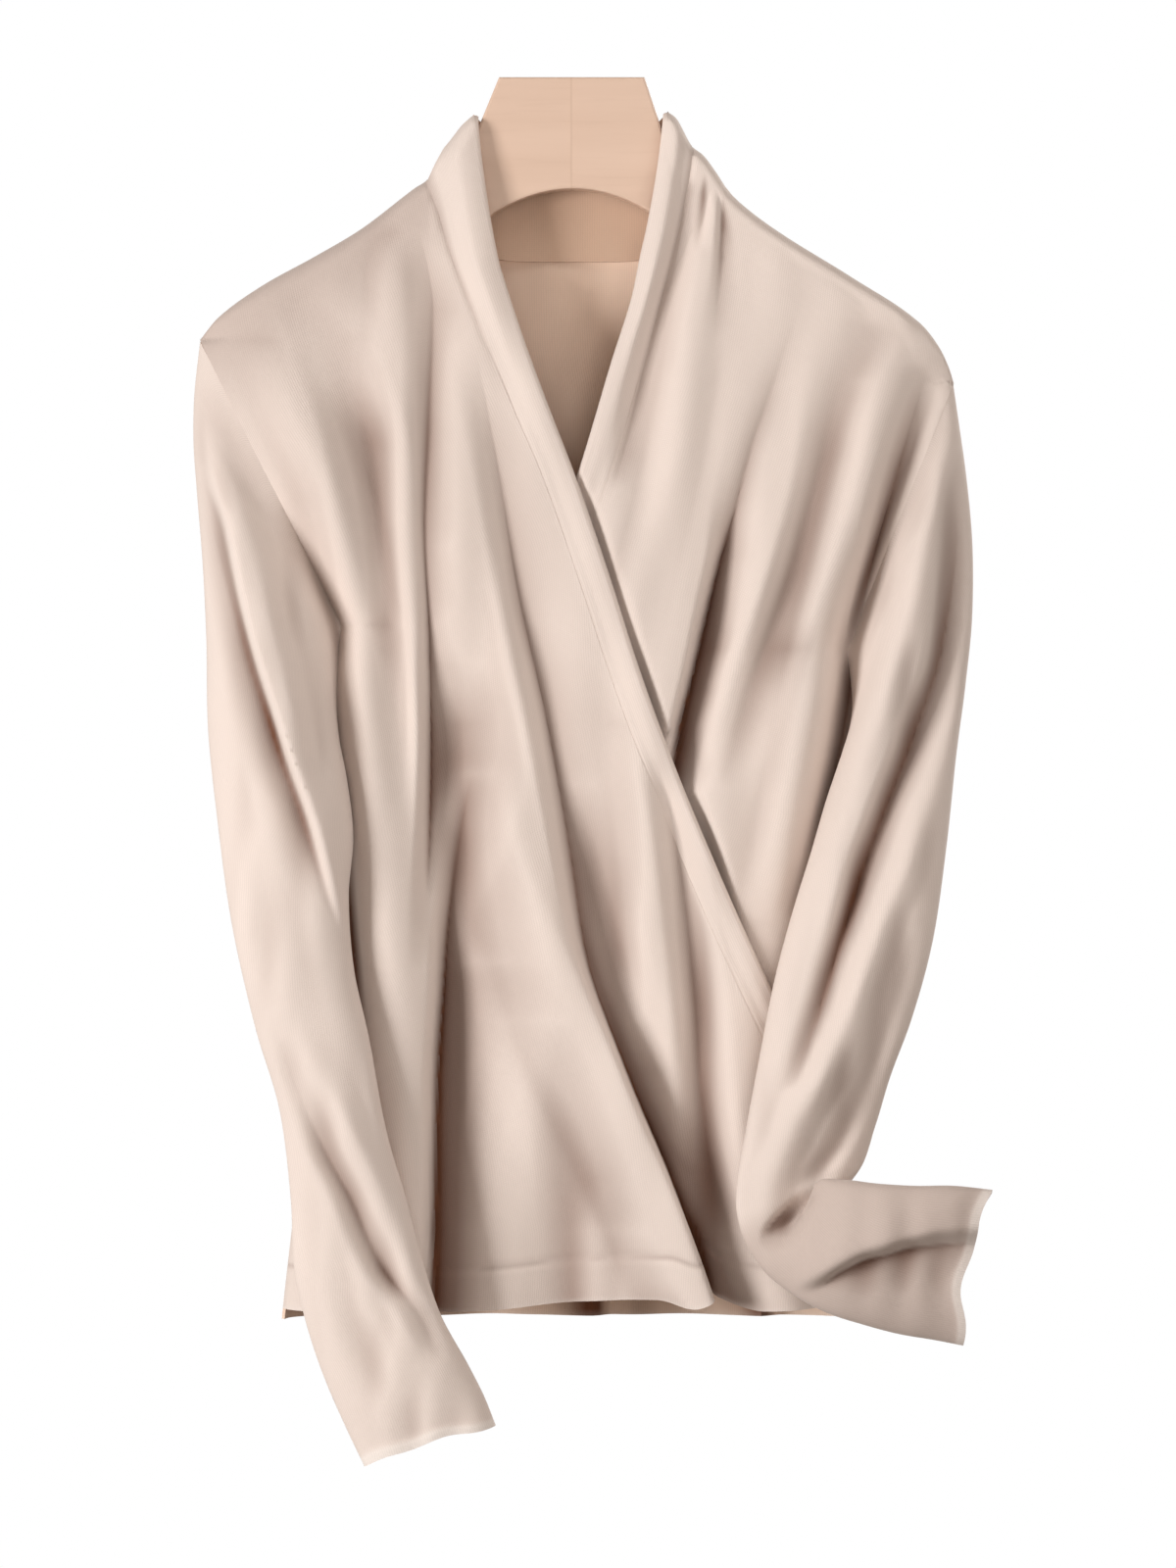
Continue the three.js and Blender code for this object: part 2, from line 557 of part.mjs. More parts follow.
// The hanger: a flat board with a broad head, an arched lower edge and two sloping arms.
function hanger() {
  const outline = new THREE.Shape();
  outline.moveTo(-36.8, 0);
  outline.lineTo(37.3, 0);
  outline.lineTo(48.5, -34);
  outline.quadraticCurveTo(53, -76, 92, -90);
  outline.lineTo(166, -132);
  outline.quadraticCurveTo(178, -141, 168, -145);
  outline.quadraticCurveTo(90, -120, 40.5, -69);
  outline.quadraticCurveTo(1.5, -44.5, -39, -69);
  outline.quadraticCurveTo(-90, -118, -166, -142);
  outline.quadraticCurveTo(-176, -138, -166, -129);
  outline.lineTo(-92, -87);
  outline.quadraticCurveTo(-54, -74, -50, -32);
  outline.closePath();
  const board = new THREE.ExtrudeGeometry(outline, {
    depth: HANGER_THICK - 2 * HANGER_BEVEL,
    bevelEnabled: true,
    bevelThickness: HANGER_BEVEL,
    bevelSize: HANGER_BEVEL,
    bevelOffset: -HANGER_BEVEL,
    bevelSegments: 2,
    curveSegments: 14,
  });
  board.translate(0, 0, -HANGER_THICK / 2 + HANGER_BEVEL);
  board.rotateX(Math.PI / 2);
  return board;
}

// ---- The scene graph ----
const KNIT = { color: 0xe3d3c6, roughness: 0.95, metalness: 0 };
const WOOD = { color: 0xe1c3aa, roughness: 0.55, metalness: 0 };

const PIECES = [
  { name: "hanger", make: hanger, finish: WOOD },
  { name: "back", make: back, finish: KNIT },
  { name: "front_under", make: frontUnder, finish: KNIT },
  { name: "front_over", make: frontOver, finish: KNIT },
  { name: "neckband_back", make: neckbandBack, finish: KNIT },
  { name: "neckband_under", make: neckbandUnder, finish: KNIT },
  { name: "neckband_over", make: neckbandOver, finish: KNIT },
  { name: "sleeve_left", make: sleeveLeft, finish: KNIT },
  { name: "sleeve_right", make: sleeveRight, finish: KNIT },
];

const group = new THREE.Group();
for (const { name, make, finish } of PIECES) {
  const mesh = new THREE.Mesh(make(), new THREE.MeshStandardMaterial(finish));
  mesh.name = name;
  group.add(mesh);
}

export default group;
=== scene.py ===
"""A knitted wrap top with long sleeves, hanging on the wooden hanger that holds it.

The garment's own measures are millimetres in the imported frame: x to the viewer's right, z up from the
middle of the hanger's flat top edge, and depth towards the front. They become metres when a piece is made.
"""

import logging
import math
from dataclasses import dataclass, field
from enum import Enum
from typing import Callable, NamedTuple

import bmesh
import bpy
import numpy as np
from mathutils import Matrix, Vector

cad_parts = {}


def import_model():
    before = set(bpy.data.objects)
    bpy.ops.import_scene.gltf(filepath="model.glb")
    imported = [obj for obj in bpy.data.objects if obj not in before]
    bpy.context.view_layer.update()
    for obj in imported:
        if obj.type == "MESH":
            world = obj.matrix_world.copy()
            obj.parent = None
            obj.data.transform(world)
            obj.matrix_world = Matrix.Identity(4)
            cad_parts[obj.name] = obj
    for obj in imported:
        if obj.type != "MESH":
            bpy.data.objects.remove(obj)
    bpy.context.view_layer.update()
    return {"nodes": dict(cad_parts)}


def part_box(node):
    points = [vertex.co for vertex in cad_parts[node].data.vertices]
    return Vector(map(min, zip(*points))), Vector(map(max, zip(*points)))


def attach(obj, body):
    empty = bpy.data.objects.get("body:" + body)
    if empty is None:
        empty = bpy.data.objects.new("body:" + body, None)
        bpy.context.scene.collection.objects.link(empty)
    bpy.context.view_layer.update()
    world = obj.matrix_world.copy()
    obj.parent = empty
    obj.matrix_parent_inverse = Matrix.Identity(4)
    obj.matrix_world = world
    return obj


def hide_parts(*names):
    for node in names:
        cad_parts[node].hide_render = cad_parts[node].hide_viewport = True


LOG = logging.getLogger("wrap_top")
HANGER_WIDTH = 343.5
CLOTH_WALL = 1.5
SEAM_GAP = 0.06
HANGER_CLEARANCE = 9.8
LAYER_GAP = 5.2
SHOULDER_ROUND = 12.0
SIDE_ROUND = 58.0
ARMHOLE_FRONT = 24.0
ARMHOLE_BACK = 20.0

Array = np.ndarray
Line = Callable[[Array], Array]
Surface = Callable[[Array, Array], Array]


class Hand(Enum):
    """A side of the garment as the viewer sees it; the value is its direction along x."""

    LEFT = -1
    RIGHT = 1


class Course(Enum):
    """The way a fold runs over the cloth."""

    DOWN = "down"
    ACROSS = "across"


class FoldKind(Enum):
    """Whether a fold goes in or stands out; the value is the sign of its height."""

    TROUGH = -1
    RIDGE = 1


def ease(value: Array) -> Array:
    """Smooth step from 0 to 1."""
    held = np.clip(value, 0.0, 1.0)
    return held * held * (3.0 - 2.0 * held)


def softer(first: Array, second: Array, width: Array) -> Array:
    """The lesser of two values, with a rounded change from one to the other."""
    share = np.clip(0.5 + 0.5 * (second - first) / width, 0.0, 1.0)
    return second + (first - second) * share - width * share * (1.0 - share)


def mix(low: Array, high: Array, share: Array) -> Array:
    """The value between two others at a share from 0 to 1."""
    return low + (high - low) * share


class Curve:
    """A smooth line through a few points that never swings past them."""

    def __init__(self, points: tuple[tuple[float, float], ...]) -> None:
        """Sets up the line.

        Args:
            points: Pairs of a key and the value there, in the order of the keys, up or down.
        """
        ordered = sorted(points)
        self.keys = np.array([key for key, _ in ordered], float)
        self.values = np.array([value for _, value in ordered], float)
        steps = np.diff(self.values) / np.diff(self.keys)
        self.slopes = np.concatenate([steps[:1], np.zeros(len(steps) - 1), steps[-1:]])
        before, after = steps[:-1], steps[1:]
        same = before * after > 0
        self.slopes[1:-1][same] = (2 * before * after / np.where(same, before + after, 1))[same]

    def __call__(self, at: Array) -> Array:
        """The value at each key, going on straight past both ends.

        Args:
            at: Keys to read.

        Returns:
            The values, in the shape of the keys.
        """
        at = np.asarray(at, float)
        i = np.clip(np.searchsorted(self.keys, at) - 1, 0, len(self.keys) - 2)
        span = self.keys[i + 1] - self.keys[i]
        t = np.clip((at - self.keys[i]) / span, 0, 1)
        inside = (
            (2 * t**3 - 3 * t**2 + 1) * self.values[i] + (t**3 - 2 * t**2 + t) * span * self.slopes[i]
            + (3 * t**2 - 2 * t**3) * self.values[i + 1] + (t**3 - t**2) * span * self.slopes[i + 1]
        )
        below = np.minimum(at - self.keys[0], 0) * self.slopes[0]
        return inside + below + np.maximum(at - self.keys[-1], 0) * self.slopes[-1]


class Station(NamedTuple):
    """A place along a fold: how far along and across, its height, its reach to both sides and its lean."""

    along: float
    across: float
    height: float
    before: float
    after: float
    lean: float = 0.0


@dataclass(frozen=True)
class Fold:
    """A trough or a ridge that runs over the cloth, wider and deeper as its stations say."""

    name: str
    kind: FoldKind
    stations: tuple[Station, ...]
    crisp: float = 0.0
    course: Course = Course.DOWN

    def relief(self, x: Array, z: Array) -> tuple[Array, Array]:
        """Height of the fold and its sideways lean.

        Args:
            x: Places across the garment.
            z: Places down the garment.

        Returns:
            The rise towards the front and the sideways shift, in millimetres.
        """
        run, side = (z, x) if self.course is Course.DOWN else (x, z)
        order = sorted(self.stations)
        inside = np.clip(run, order[0].along, order[-1].along)
        read = [Curve(tuple((s.along, s[column]) for s in order)) for column in range(1, 6)]
        offset = side - read[0](run)
        reach = np.where(offset < 0, read[2](inside), read[3](inside))
        near = np.clip(1 - np.abs(offset) / np.maximum(reach * 1.6, 0.1), 0, 1)
        shape = mix(ease(near), near**2.2, self.crisp)
        height = read[1](inside)
        held = ((run >= order[0].along) | (abs(order[0].height) > 0)) & (
            (run <= order[-1].along) | (abs(order[-1].height) > 0))
        return self.kind.value * height * shape * held, read[4](inside) * shape * held


@dataclass(frozen=True)
class Wander:
    """Gentle unevenness that real cloth keeps between its main folds."""

    height: float
    width: float
    length: float
    seed: int

    def __call__(self, x: Array, z: Array) -> Array:
        """Rise of the cloth at each place, from a few slow waves with seeded phases."""
        draw = np.random.default_rng(self.seed)
        total = np.zeros(np.broadcast(x, z).shape)
        for _ in range(9):
            across = 2 * math.pi / (self.width * draw.uniform(0.6, 1.8)) * draw.choice([-1, 1])
            down = 2 * math.pi / (self.length * draw.uniform(0.6, 1.6))
            total += np.sin(across * x + down * z + draw.uniform(0, 2 * math.pi))
        return total * self.height / 3


def relief(folds: tuple[Fold, ...], x: Array, z: Array) -> tuple[Array, Array]:
    """All of a piece's folds together.

    Args:
        folds: The folds of the piece.
        x: Places across the garment.
        z: Places down the garment.

    Returns:
        The rise towards the front and the sideways shift, in millimetres.
    """
    rise, shift = np.zeros(np.broadcast(x, z).shape), np.zeros(np.broadcast(x, z).shape)
    for fold in folds:
        up, over = fold.relief(x, z)
        rise, shift = rise + up, shift + over
    return rise, shift


@dataclass
class BodyForm:
    """The form on which the garment hangs: shoulders, armholes, side seams and the body's depth."""

    tip: dict[Hand, tuple[float, float]] = field(
        default_factory=lambda: {Hand.LEFT: (-189.0, -134.0), Hand.RIGHT: (194.5, -156.0)})
    underarm: dict[Hand, tuple[float, float]] = field(
        default_factory=lambda: {Hand.LEFT: (-116.0, -280.0), Hand.RIGHT: (141.0, -292.0)})
    seams: dict[Hand, Curve] = field(default_factory=lambda: {
        Hand.LEFT: Curve(((-292, -120), (-320, -124), (-360, -124), (-400, -125), (-450, -127), (-520, -133),
                          (-580, -141), (-632, -147))),
        Hand.RIGHT: Curve(((-292, 145), (-320, 147), (-360, 141), (-400, 134), (-450, 132), (-520, 136),
                           (-580, 141), (-632, 145))),
    })
    front: Curve = field(default_factory=lambda: Curve(
        ((-20, 11), (-90, 16), (-150, 25), (-210, 34), (-280, 40), (-400, 43), (-520, 41), (-640, 37))))
    back: Curve = field(default_factory=lambda: Curve(
        ((-20, 11), (-90, 14), (-150, 19), (-210, 25), (-280, 31), (-400, 34), (-520, 34), (-640, 32))))
    shoulders: Curve = field(default_factory=lambda: Curve((
        (-189, -134), (-179.5, -122.5), (-157.5, -106.5), (-131, -91.8), (-107.6, -78), (-80, -57),
        (-73, -52),
        (-69, -42), (-62, -33), (-52, -21), (-44, -16), (44, -16), (52, -20), (61, -35), (67, -40), (73, -48),
        (80, -58.4), (91, -68.5), (107, -80), (142.5, -102), (177.5, -125.5), (187, -137.5),
        (192, -148), (194.5, -156))))

    def side_x(self, z: Array, hand: Hand) -> Array:
        """The armhole line above the underarm and the side seam below it."""
        tip, arm = self.tip[hand], self.underarm[hand]
        upper = mix(tip[0], arm[0], np.clip((z - tip[1]) / (arm[1] - tip[1]), 0, 1))
        below = ease((arm[1] + 14 - z) / 40.0)
        return mix(upper, self.seams[hand](np.minimum(z, -292)), below)

    def shoulder_z(self, x: Array) -> Array:
        """The height of the shoulder's outline."""
        return self.shoulders(x)

    def armhole_depth(self, z: Array, hand: Hand, most: Array) -> Array:
        """How far the armhole stands open at a height, nothing at the tip and at the underarm."""
        tip, arm = self.tip[hand], self.underarm[hand]
        share = np.clip((z - tip[1]) / (arm[1] - tip[1]), 0, 1)
        return most * np.where(share < 0.5, np.sin(math.pi * share) ** 0.55, 1 - ease((share - 0.5) / 0.56))

    def shoulder_depth(self, x: Array, z: Array) -> Array:
        """Depth of the cloth where it turns over the hanger's arm and falls from it."""
        below = np.maximum(0, self.shoulder_z(x) - z)
        over = np.maximum(0, 1 - below / SHOULDER_ROUND)
        return SHOULDER_ROUND * np.sqrt(1 - over * over) + 0.27 * below**2 / (below + 14)

    def depth(self, x: Array, z: Array, to_front: bool) -> Array:
        """Depth of a front or of the back from the hanger's middle plane, before its folds.

        Args:
            x: Places across the garment.
            z: Places down the garment.
            to_front: Whether the piece is a front.

        Returns:
            The depth in millimetres.
        """
        result = np.zeros(np.broadcast(x, z).shape)
        for hand in Hand:
            away = np.clip(np.abs(x - self.side_x(z, hand)) / SIDE_ROUND, 0, 1)
            full = (self.front if to_front else self.back)(z)
            edge = self.armhole_depth(z, hand, ARMHOLE_FRONT if to_front else ARMHOLE_BACK)
            seam = (1 - (1 - away) ** 2.2) ** (1 / 2.2)
            closed = ease((self.underarm[hand][1] + 70 - z) / 90)
            turned = edge + (full - edge) * mix(1 - (1 - away) ** 2, seam, closed)
            result = np.where((x < 12) == (hand is Hand.LEFT), turned, result)
        roof = self.shoulder_depth(x, z)
        return softer(result, roof, np.clip(0.5 * np.minimum(result, roof), 0.01, 8.0)) + SEAM_GAP

    def clear_of_hanger(self, x: Array, z: Array, own: Array) -> Array:
        """A depth that keeps the cloth off the hanger's board."""
        least = np.minimum(self.shoulder_depth(x, z), HANGER_CLEARANCE)
        near = ease((HANGER_WIDTH / 2 + 6 - np.abs(x)) / 12) * ease((z + 172) / 20)
        return np.maximum(own, mix(own, least, near))

    def seam_fade(self, x: Array, z: Array) -> Array:
        """Folds fade out beside the armholes, the side seams and the shoulders."""
        side = np.minimum(np.abs(x - self.side_x(z, Hand.LEFT)), np.abs(x - self.side_x(z, Hand.RIGHT)))
        return ease((side + 6) / 15) * ease((self.shoulder_z(x) - z - 1) / 22)


def trough(name: str, *stations: tuple[float, ...], crisp: float = 0.0, course: Course = Course.DOWN) -> Fold:
    """A fold that goes in."""
    return Fold(name, FoldKind.TROUGH, tuple(Station(*s) for s in stations), crisp, course)


def ridge(name: str, *stations: tuple[float, ...], crisp: float = 0.0, course: Course = Course.DOWN) -> Fold:
    """A fold that stands out."""
    return Fold(name, FoldKind.RIDGE, tuple(Station(*s) for s in stations), crisp, course)


OVER_FOLDS = (
    trough("long crease below the shoulder",
           (-78, -77, 0, 10, 12), (-117, -70.5, 5, 10, 16), (-175, -72.5, 8, 9, 22), (-230, -74.5, 10, 8, 26),
           (-290, -72, 14, 6, 30), (-345, -71.5, 20, 4.5, 36), (-385, -72, 14, 5, 28), (-425, -73, 4, 6, 16),
           (-455, -74, 0, 6, 8),
           crisp=0.55),
    trough("broad hollow beside that crease",
           (-240, -56, 0, 14, 20), (-300, -55, 5, 14, 24), (-350, -54, 8, 14, 26), (-400, -50, 6, 14, 26),
           (-450, -46, 0, 14, 24)),
    trough("long crease to the hem",
           (-355, -50, 0, 8, 14), (-385, -56, 6, 9, 20), (-430, -62.5, 15, 7, 30), (-465, -65, 20, 5, 34),
           (-510, -68, 22, 4.5, 34), (-560, -69, 21, 4.5, 32), (-640, -71, 20, 4.5, 30), crisp=0.6),
    trough("crease from the neck",
           (-140, -48, 0, 10, 18), (-195, -38, 7, 9, 26), (-263, -27, 12, 8, 32), (-331, -12, 14, 8, 36),
           (-400, 0, 14, 7, 36), (-456, 8, 14, 5.5, 32), (-509, 27.5, 16, 4.5, 32), (-560, 49, 18, 4.5, 32),
           (-614, 69, 18, 4.5, 28), (-640, 79, 17, 4.5, 26), crisp=0.5),
    ridge("crest that falls to the hem's corner",
          (-300, -62, 0, 18, 14, 0), (-340, -46, 3, 22, 16, 0), (-380, -32, 5, 24, 16, 0),
          (-420, -18, 7, 24, 15, 2), (-456, -5, 9, 22, 12, 6), (-509, 14, 12, 22, 11, 10),
          (-560, 36, 13, 20, 10, 11), (-614, 56, 12, 18, 9, 12), (-640, 64, 12, 18, 9, 12)),
    trough("soft valley below the shoulder",
           (-105, -130, 0, 16, 14), (-150, -115, 6, 16, 15), (-190, -103, 12, 15, 14),
           (-230, -98, 11.5, 14, 13),
           (-275, -93, 9, 13, 12), (-330, -88, 6, 12, 11), (-390, -84, 0, 11, 10)),
    ridge("fall beside the sleeve",
          (-135, -155, 0, 14, 14), (-175, -138.5, 4, 14, 14), (-219, -119.5, 6, 14, 15),
          (-263, -110.5, 7, 12, 15),
          (-310, -106, 7, 10, 16), (-360, -101, 8, 12, 16), (-435, -97, 9, 15, 18), (-485, -92, 9, 16, 18),
          (-535, -85.5, 9, 18, 15), (-640, -85, 8, 18, 14)),
    trough("gap beside the sleeve",
           (-350, -116, 0, 6, 5), (-400, -113, 8, 8, 5), (-440, -110, 11, 8, 5), (-470, -107, 7, 7, 5),
           (-505, -103, 0, 6, 5), crisp=0.5),
    trough("valley above the hem at the right",
           (-345, 43, 0, 8, 8), (-368, 49, 5, 8, 9), (-419, 57.5, 8.5, 9, 10), (-470, 62.5, 11, 9, 12),
           (-510, 65.5, 10, 10, 12), (-550, 70, 7, 11, 12), (-595, 76, 0, 12, 12), crisp=0.2),
    ridge("swell beside that valley",
          (-330, 28, 0, 12, 10), (-368, 36, 2.5, 12, 10), (-412, 40, 4.5, 12, 10), (-456, 39, 3, 12, 10),
          (-505, 42, 0, 12, 10)),
    trough("hollow above the swell",
           (-360, 6, 0, 12, 12), (-400, 13, 3, 12, 12), (-440, 24, 3.5, 10, 10), (-480, 34, 0, 10, 10)),
    ridge("light fall below the neck",
          (-120, -62, 0, 10, 10), (-175, -60, 3, 11, 11), (-226, -58, 4, 12, 12), (-280, -56, 4, 12, 12),
          (-330, -54, 0, 12, 12)),
    ridge("light fall below the shoulder",
          (-80, -90, 0, 9, 9), (-105, -91, 3, 9, 9), (-150, -92, 0, 9, 9)),
    trough("soft dent above the hem",
           (-480, -14, 0, 24, 22), (-540, -8, 5, 24, 22), (-585, -4, 8, 24, 22), (-640, 0, 9, 24, 22)),
    ridge("soft swell at the hem",
          (-560, 10, 0, 8, 8), (-590, 11, 1.4, 8, 8), (-640, 12, 2, 8, 8)),
)
UNDER_FOLDS = (
    trough("crease that narrows to the wrap",
           (-105, 121, 0, 18, 18), (-140, 108, 2, 15, 16), (-165, 99.5, 4, 13, 16), (-190, 91, 6, 10, 16),
           (-219, 83.5, 9, 9, 18),
           (-248, 75, 15, 5.5, 20), (-285, 66, 20, 4.5, 20), (-310, 60, 19, 4, 20), (-331, 55, 19, 4, 18),
           (-352, 51.3, 16, 4, 16), (-380, 45, 8, 5, 12), (-402, 40, 0, 5, 10), crisp=0.65),
    trough("crease beside the armhole",
           (-145, 182, 0, 9, 10), (-172, 174, 7, 9, 12), (-205, 164.5, 13, 9, 12), (-240, 155, 15, 8, 12),
           (-275, 147.5, 14, 8, 12), (-315, 141, 11, 9, 10), (-360, 132, 8, 8, 10), (-400, 122, 5, 8, 8),
           (-430, 112, 0, 8, 8), crisp=0.4),
    trough("soft crease beside it",
           (-105, 158, 0, 16, 16), (-140, 143, 3, 14, 14), (-165, 135, 5.5, 12, 13), (-197, 127.5, 8, 10, 13),
           (-248, 113, 9, 9, 13),
           (-285, 100, 8, 9, 13), (-320, 88.5, 6, 9, 13), (-365, 75, 0, 10, 12)),
    ridge("swell along the armhole",
          (-130, 170, 0, 10, 10), (-155, 161, 2, 11, 10), (-180, 152, 4, 11, 10), (-220, 143, 6, 12, 10),
          (-260, 134, 7, 12, 9),
          (-310, 124, 7, 12, 9), (-350, 116, 6, 12, 10), (-390, 108, 4, 12, 10), (-430, 100, 0, 12, 10)),
    trough("hollow beside the neckband",
           (-42, 63, 0, 3, 5), (-60, 60, 4, 4, 7), (-90, 52.5, 5, 5, 9), (-124, 43, 6, 6, 11),
           (-155, 35, 6, 6, 12),
           (-190, 27, 4, 6, 12), (-215, 20, 0, 6, 12), crisp=0.3),
    ridge("light fall below the collar",
          (-90, 66, 0, 9, 9), (-130, 61, 2.5, 9, 10), (-190, 52, 4, 10, 11), (-250, 38, 3, 10, 11),
          (-320, 20, 0, 10, 11)),
    trough("second pleat of the collar",
           (-43, 68.5, 4, 2.5, 3.5), (-52, 68, 4.5, 2.5, 4), (-68, 66.5, 3, 3, 5),
           (-90, 64, 0, 3, 6), crisp=0.5),
    ridge("fall between the pleats", (-48, 73, 2, 4, 3), (-64, 72.5, 2.5, 4, 3.5), (-90, 71, 0, 5, 5)),
    trough("third pleat of the collar",
           (-52, 78, 5, 2.5, 4), (-66, 77.5, 5.5, 2.5, 5), (-84, 76.5, 4, 3, 7), (-106, 75, 2, 4, 9),
           (-135, 73, 0, 5, 10), crisp=0.5),
)
BACK_FOLDS = (
    trough("left fall of the back",
           (-100, -88, 0, 14, 18), (-180, -78, 5, 13, 18), (-330, -70, 10, 9, 20), (-480, -76, 13, 7, 24),
           (-640, -86, 13, 7, 24), crisp=0.4),
    trough("middle fall of the back",
           (-150, 16, 0, 18, 16), (-260, 8, 5, 18, 14), (-420, 2, 9, 20, 9), (-540, 6, 12, 22, 6),
           (-640, 12, 12, 22, 6), crisp=0.3),
    trough("right fall of the back",
           (-105, 94, 0, 16, 16), (-200, 86, 6, 16, 14), (-330, 80, 10, 18, 9), (-480, 88, 12, 22, 7),
           (-640, 98, 12, 22, 7), crisp=0.4),
    ridge("swell left of the middle", (-240, -28, 0, 16, 14), (-400, -34, 5, 18, 14), (-640, -40, 6, 18, 14)),
    ridge("swell right of the middle", (-260, 44, 0, 16, 14), (-420, 48, 5, 16, 16), (-640, 56, 6, 16, 16)),
)


@dataclass
class GarmentForm:
    """The surfaces of both fronts and of the back, with their folds and the lines that bound them."""

    body: BodyForm = field(default_factory=BodyForm)
    over_edge: Curve = field(default_factory=lambda: Curve((
        (-54, -48.5), (-70, -44.5), (-90, -39), (-114, -31.5), (-138, -23.5), (-168, -12.5), (-202, 0.5),
        (-254, 18.3), (-300, 33), (-349, 50.8), (-412, 77), (-464, 100.5), (-520, 127))))
    over_seam: Curve = field(default_factory=lambda: Curve((
        (-54, -73), (-70, -67), (-90, -61), (-114, -52), (-138, -42.5), (-168, -30), (-202, -15.5), (-254, 3),
        (-300, 18), (-349, 36), (-412, 62), (-464, 85), (-520, 111))))
    under_edge: Curve = field(default_factory=lambda: Curve((
        (-38, 46.5), (-56, 44), (-90, 36), (-112, 31.5), (-146, 21), (-202, 4.3), (-280, -24), (-360, -56),
        (-420, -84), (-460, -106), (-500, -130))))
    under_seam: Curve = field(default_factory=lambda: Curve((
        (-38, 61.5), (-56, 58.5), (-90, 51), (-112, 45), (-146, 36), (-202, 20), (-280, -8), (-360, -40),
        (-420, -68), (-460, -90), (-500, -114))))
    hem: Curve = field(default_factory=lambda: Curve((
        (-147, -627), (-68, -627.5), (5, -621.5), (40, -620), (52, -624.5), (60, -621), (67, -614.5),
        (75, -620),
        (98, -626.5), (145, -623))))
    front_wander: Wander = Wander(height=0.9, width=44.0, length=260.0, seed=11)
    back_wander: Wander = Wander(height=1.1, width=52.0, length=280.0, seed=23)

    def over(self, x: Array, z: Array) -> tuple[Array, Array]:
        """Depth and sideways shift of the front that lies on top."""
        rise, shift = relief(OVER_FOLDS, x, z)
        fade = self.body.seam_fade(x, z)
        own = self.body.depth(x, z, True) + (rise + self.front_wander(x, z)) * fade
        return self.body.clear_of_hanger(x, z, own), shift * fade

    def folded(self, folds: tuple[Fold, ...], x: Array, z: Array) -> Array:
        """Height of the main folds alone, which tells where the creases are."""
        return relief(folds, x, z)[0] * self.body.seam_fade(x, z)

    def over_depth(self, x: Array, z: Array) -> Array:
        """Depth of the front that lies on top."""
        return self.over(x, z)[0]

    def under_depth(self, x: Array, z: Array) -> Array:
        """Depth of the front under it, which stays behind it as far as its neck edge."""
        plain = self.body.depth(x, z, True)
        rise, _ = relief(UNDER_FOLDS, x, z)
        fade = self.body.seam_fade(x, z)
        own = plain - 3 * np.clip((plain - 1) / 12, 0, 1) + (rise + self.front_wander(x + 400, z)) * fade
        own = self.body.clear_of_hanger(x, z, own)
        edge = self.over_edge(z)
        past = np.maximum(0, x - edge - 2)
        near = [self.over_depth(np.minimum(x + dx, edge), z) for dx in (-15, -10, -5, 0, 5, 10, 15)]
        limit = np.min(near, axis=0) - LAYER_GAP + past * 1.1
        return np.where((z > -150) | (past > 26), own, np.minimum(own, limit))

    def back_depth(self, x: Array, z: Array) -> Array:
        """Depth of the back, which stands off the hanger behind the neck."""
        rise, _ = relief(BACK_FOLDS, x, z)
        own = self.body.depth(x, z, False) + (rise + self.back_wander(x, z)) * self.body.seam_fade(x, z)
        return np.maximum(self.body.clear_of_hanger(x, z, own), 12 * ease((73 - np.abs(x)) / 14))


class Wiring:
    """Makes shader nodes and the links between them."""

    def __init__(self, tree: bpy.types.NodeTree) -> None:
        """Works in one node tree."""
        self.tree = tree

    def node(self, kind: str, **settings: object) -> bpy.types.Node:
        """A new node with its settings in place."""
        made = self.tree.nodes.new(kind)
        for name, value in settings.items():
            setattr(made, name, value)
        return made

    def feed(self, source: object, socket: bpy.types.NodeSocket) -> None:
        """Links a socket to an input, or sets the input to a plain value."""
        if isinstance(source, bpy.types.NodeSocket):
            self.tree.links.new(source, socket)
        else:
            socket.default_value = source

    def math(self, operation: str, *inputs: object, clamp: bool = False) -> bpy.types.NodeSocket:
        """The result of a sum on sockets and numbers."""
        made = self.node("ShaderNodeMath", operation=operation, use_clamp=clamp)
        for socket, source in zip(made.inputs, inputs):
            self.feed(source, socket)
        return made.outputs[0]

    def blend(self, share: object, low: object, high: object, mode: str = "MIX") -> bpy.types.NodeSocket:
        """A colour between two others."""
        made = self.node("ShaderNodeMix", data_type="RGBA", blend_type=mode)
        self.feed(share, made.inputs[0])
        self.feed(low, made.inputs[6])
        self.feed(high, made.inputs[7])
        return made.outputs[2]

    def ramp(self, source: object, low: float, high: float,
             to_low: float, to_high: float) -> bpy.types.NodeSocket:
        """A value stretched from one range to another."""
        made = self.node("ShaderNodeMapRange")
        for index, value in enumerate((source, low, high, to_low, to_high)):
            self.feed(value, made.inputs[index])
        return made.outputs[0]

    def noise(self, place: object, scale: float, detail: float = 2.0,
              stretch: tuple[float, float, float] = (1, 1, 1),
              turn: float = 0.0) -> bpy.types.NodeSocket:
        """Noise on a place, stretched and turned."""
        mapping = self.node("ShaderNodeMapping")
        self.feed(place, mapping.inputs[0])
        mapping.inputs["Scale"].default_value = stretch
        mapping.inputs["Rotation"].default_value = (0.0, turn, 0.0)
        made = self.node("ShaderNodeTexNoise")
        self.feed(mapping.outputs[0], made.inputs["Vector"])
        made.inputs["Scale"].default_value = scale
        made.inputs["Detail"].default_value = detail
        return made.outputs[0]


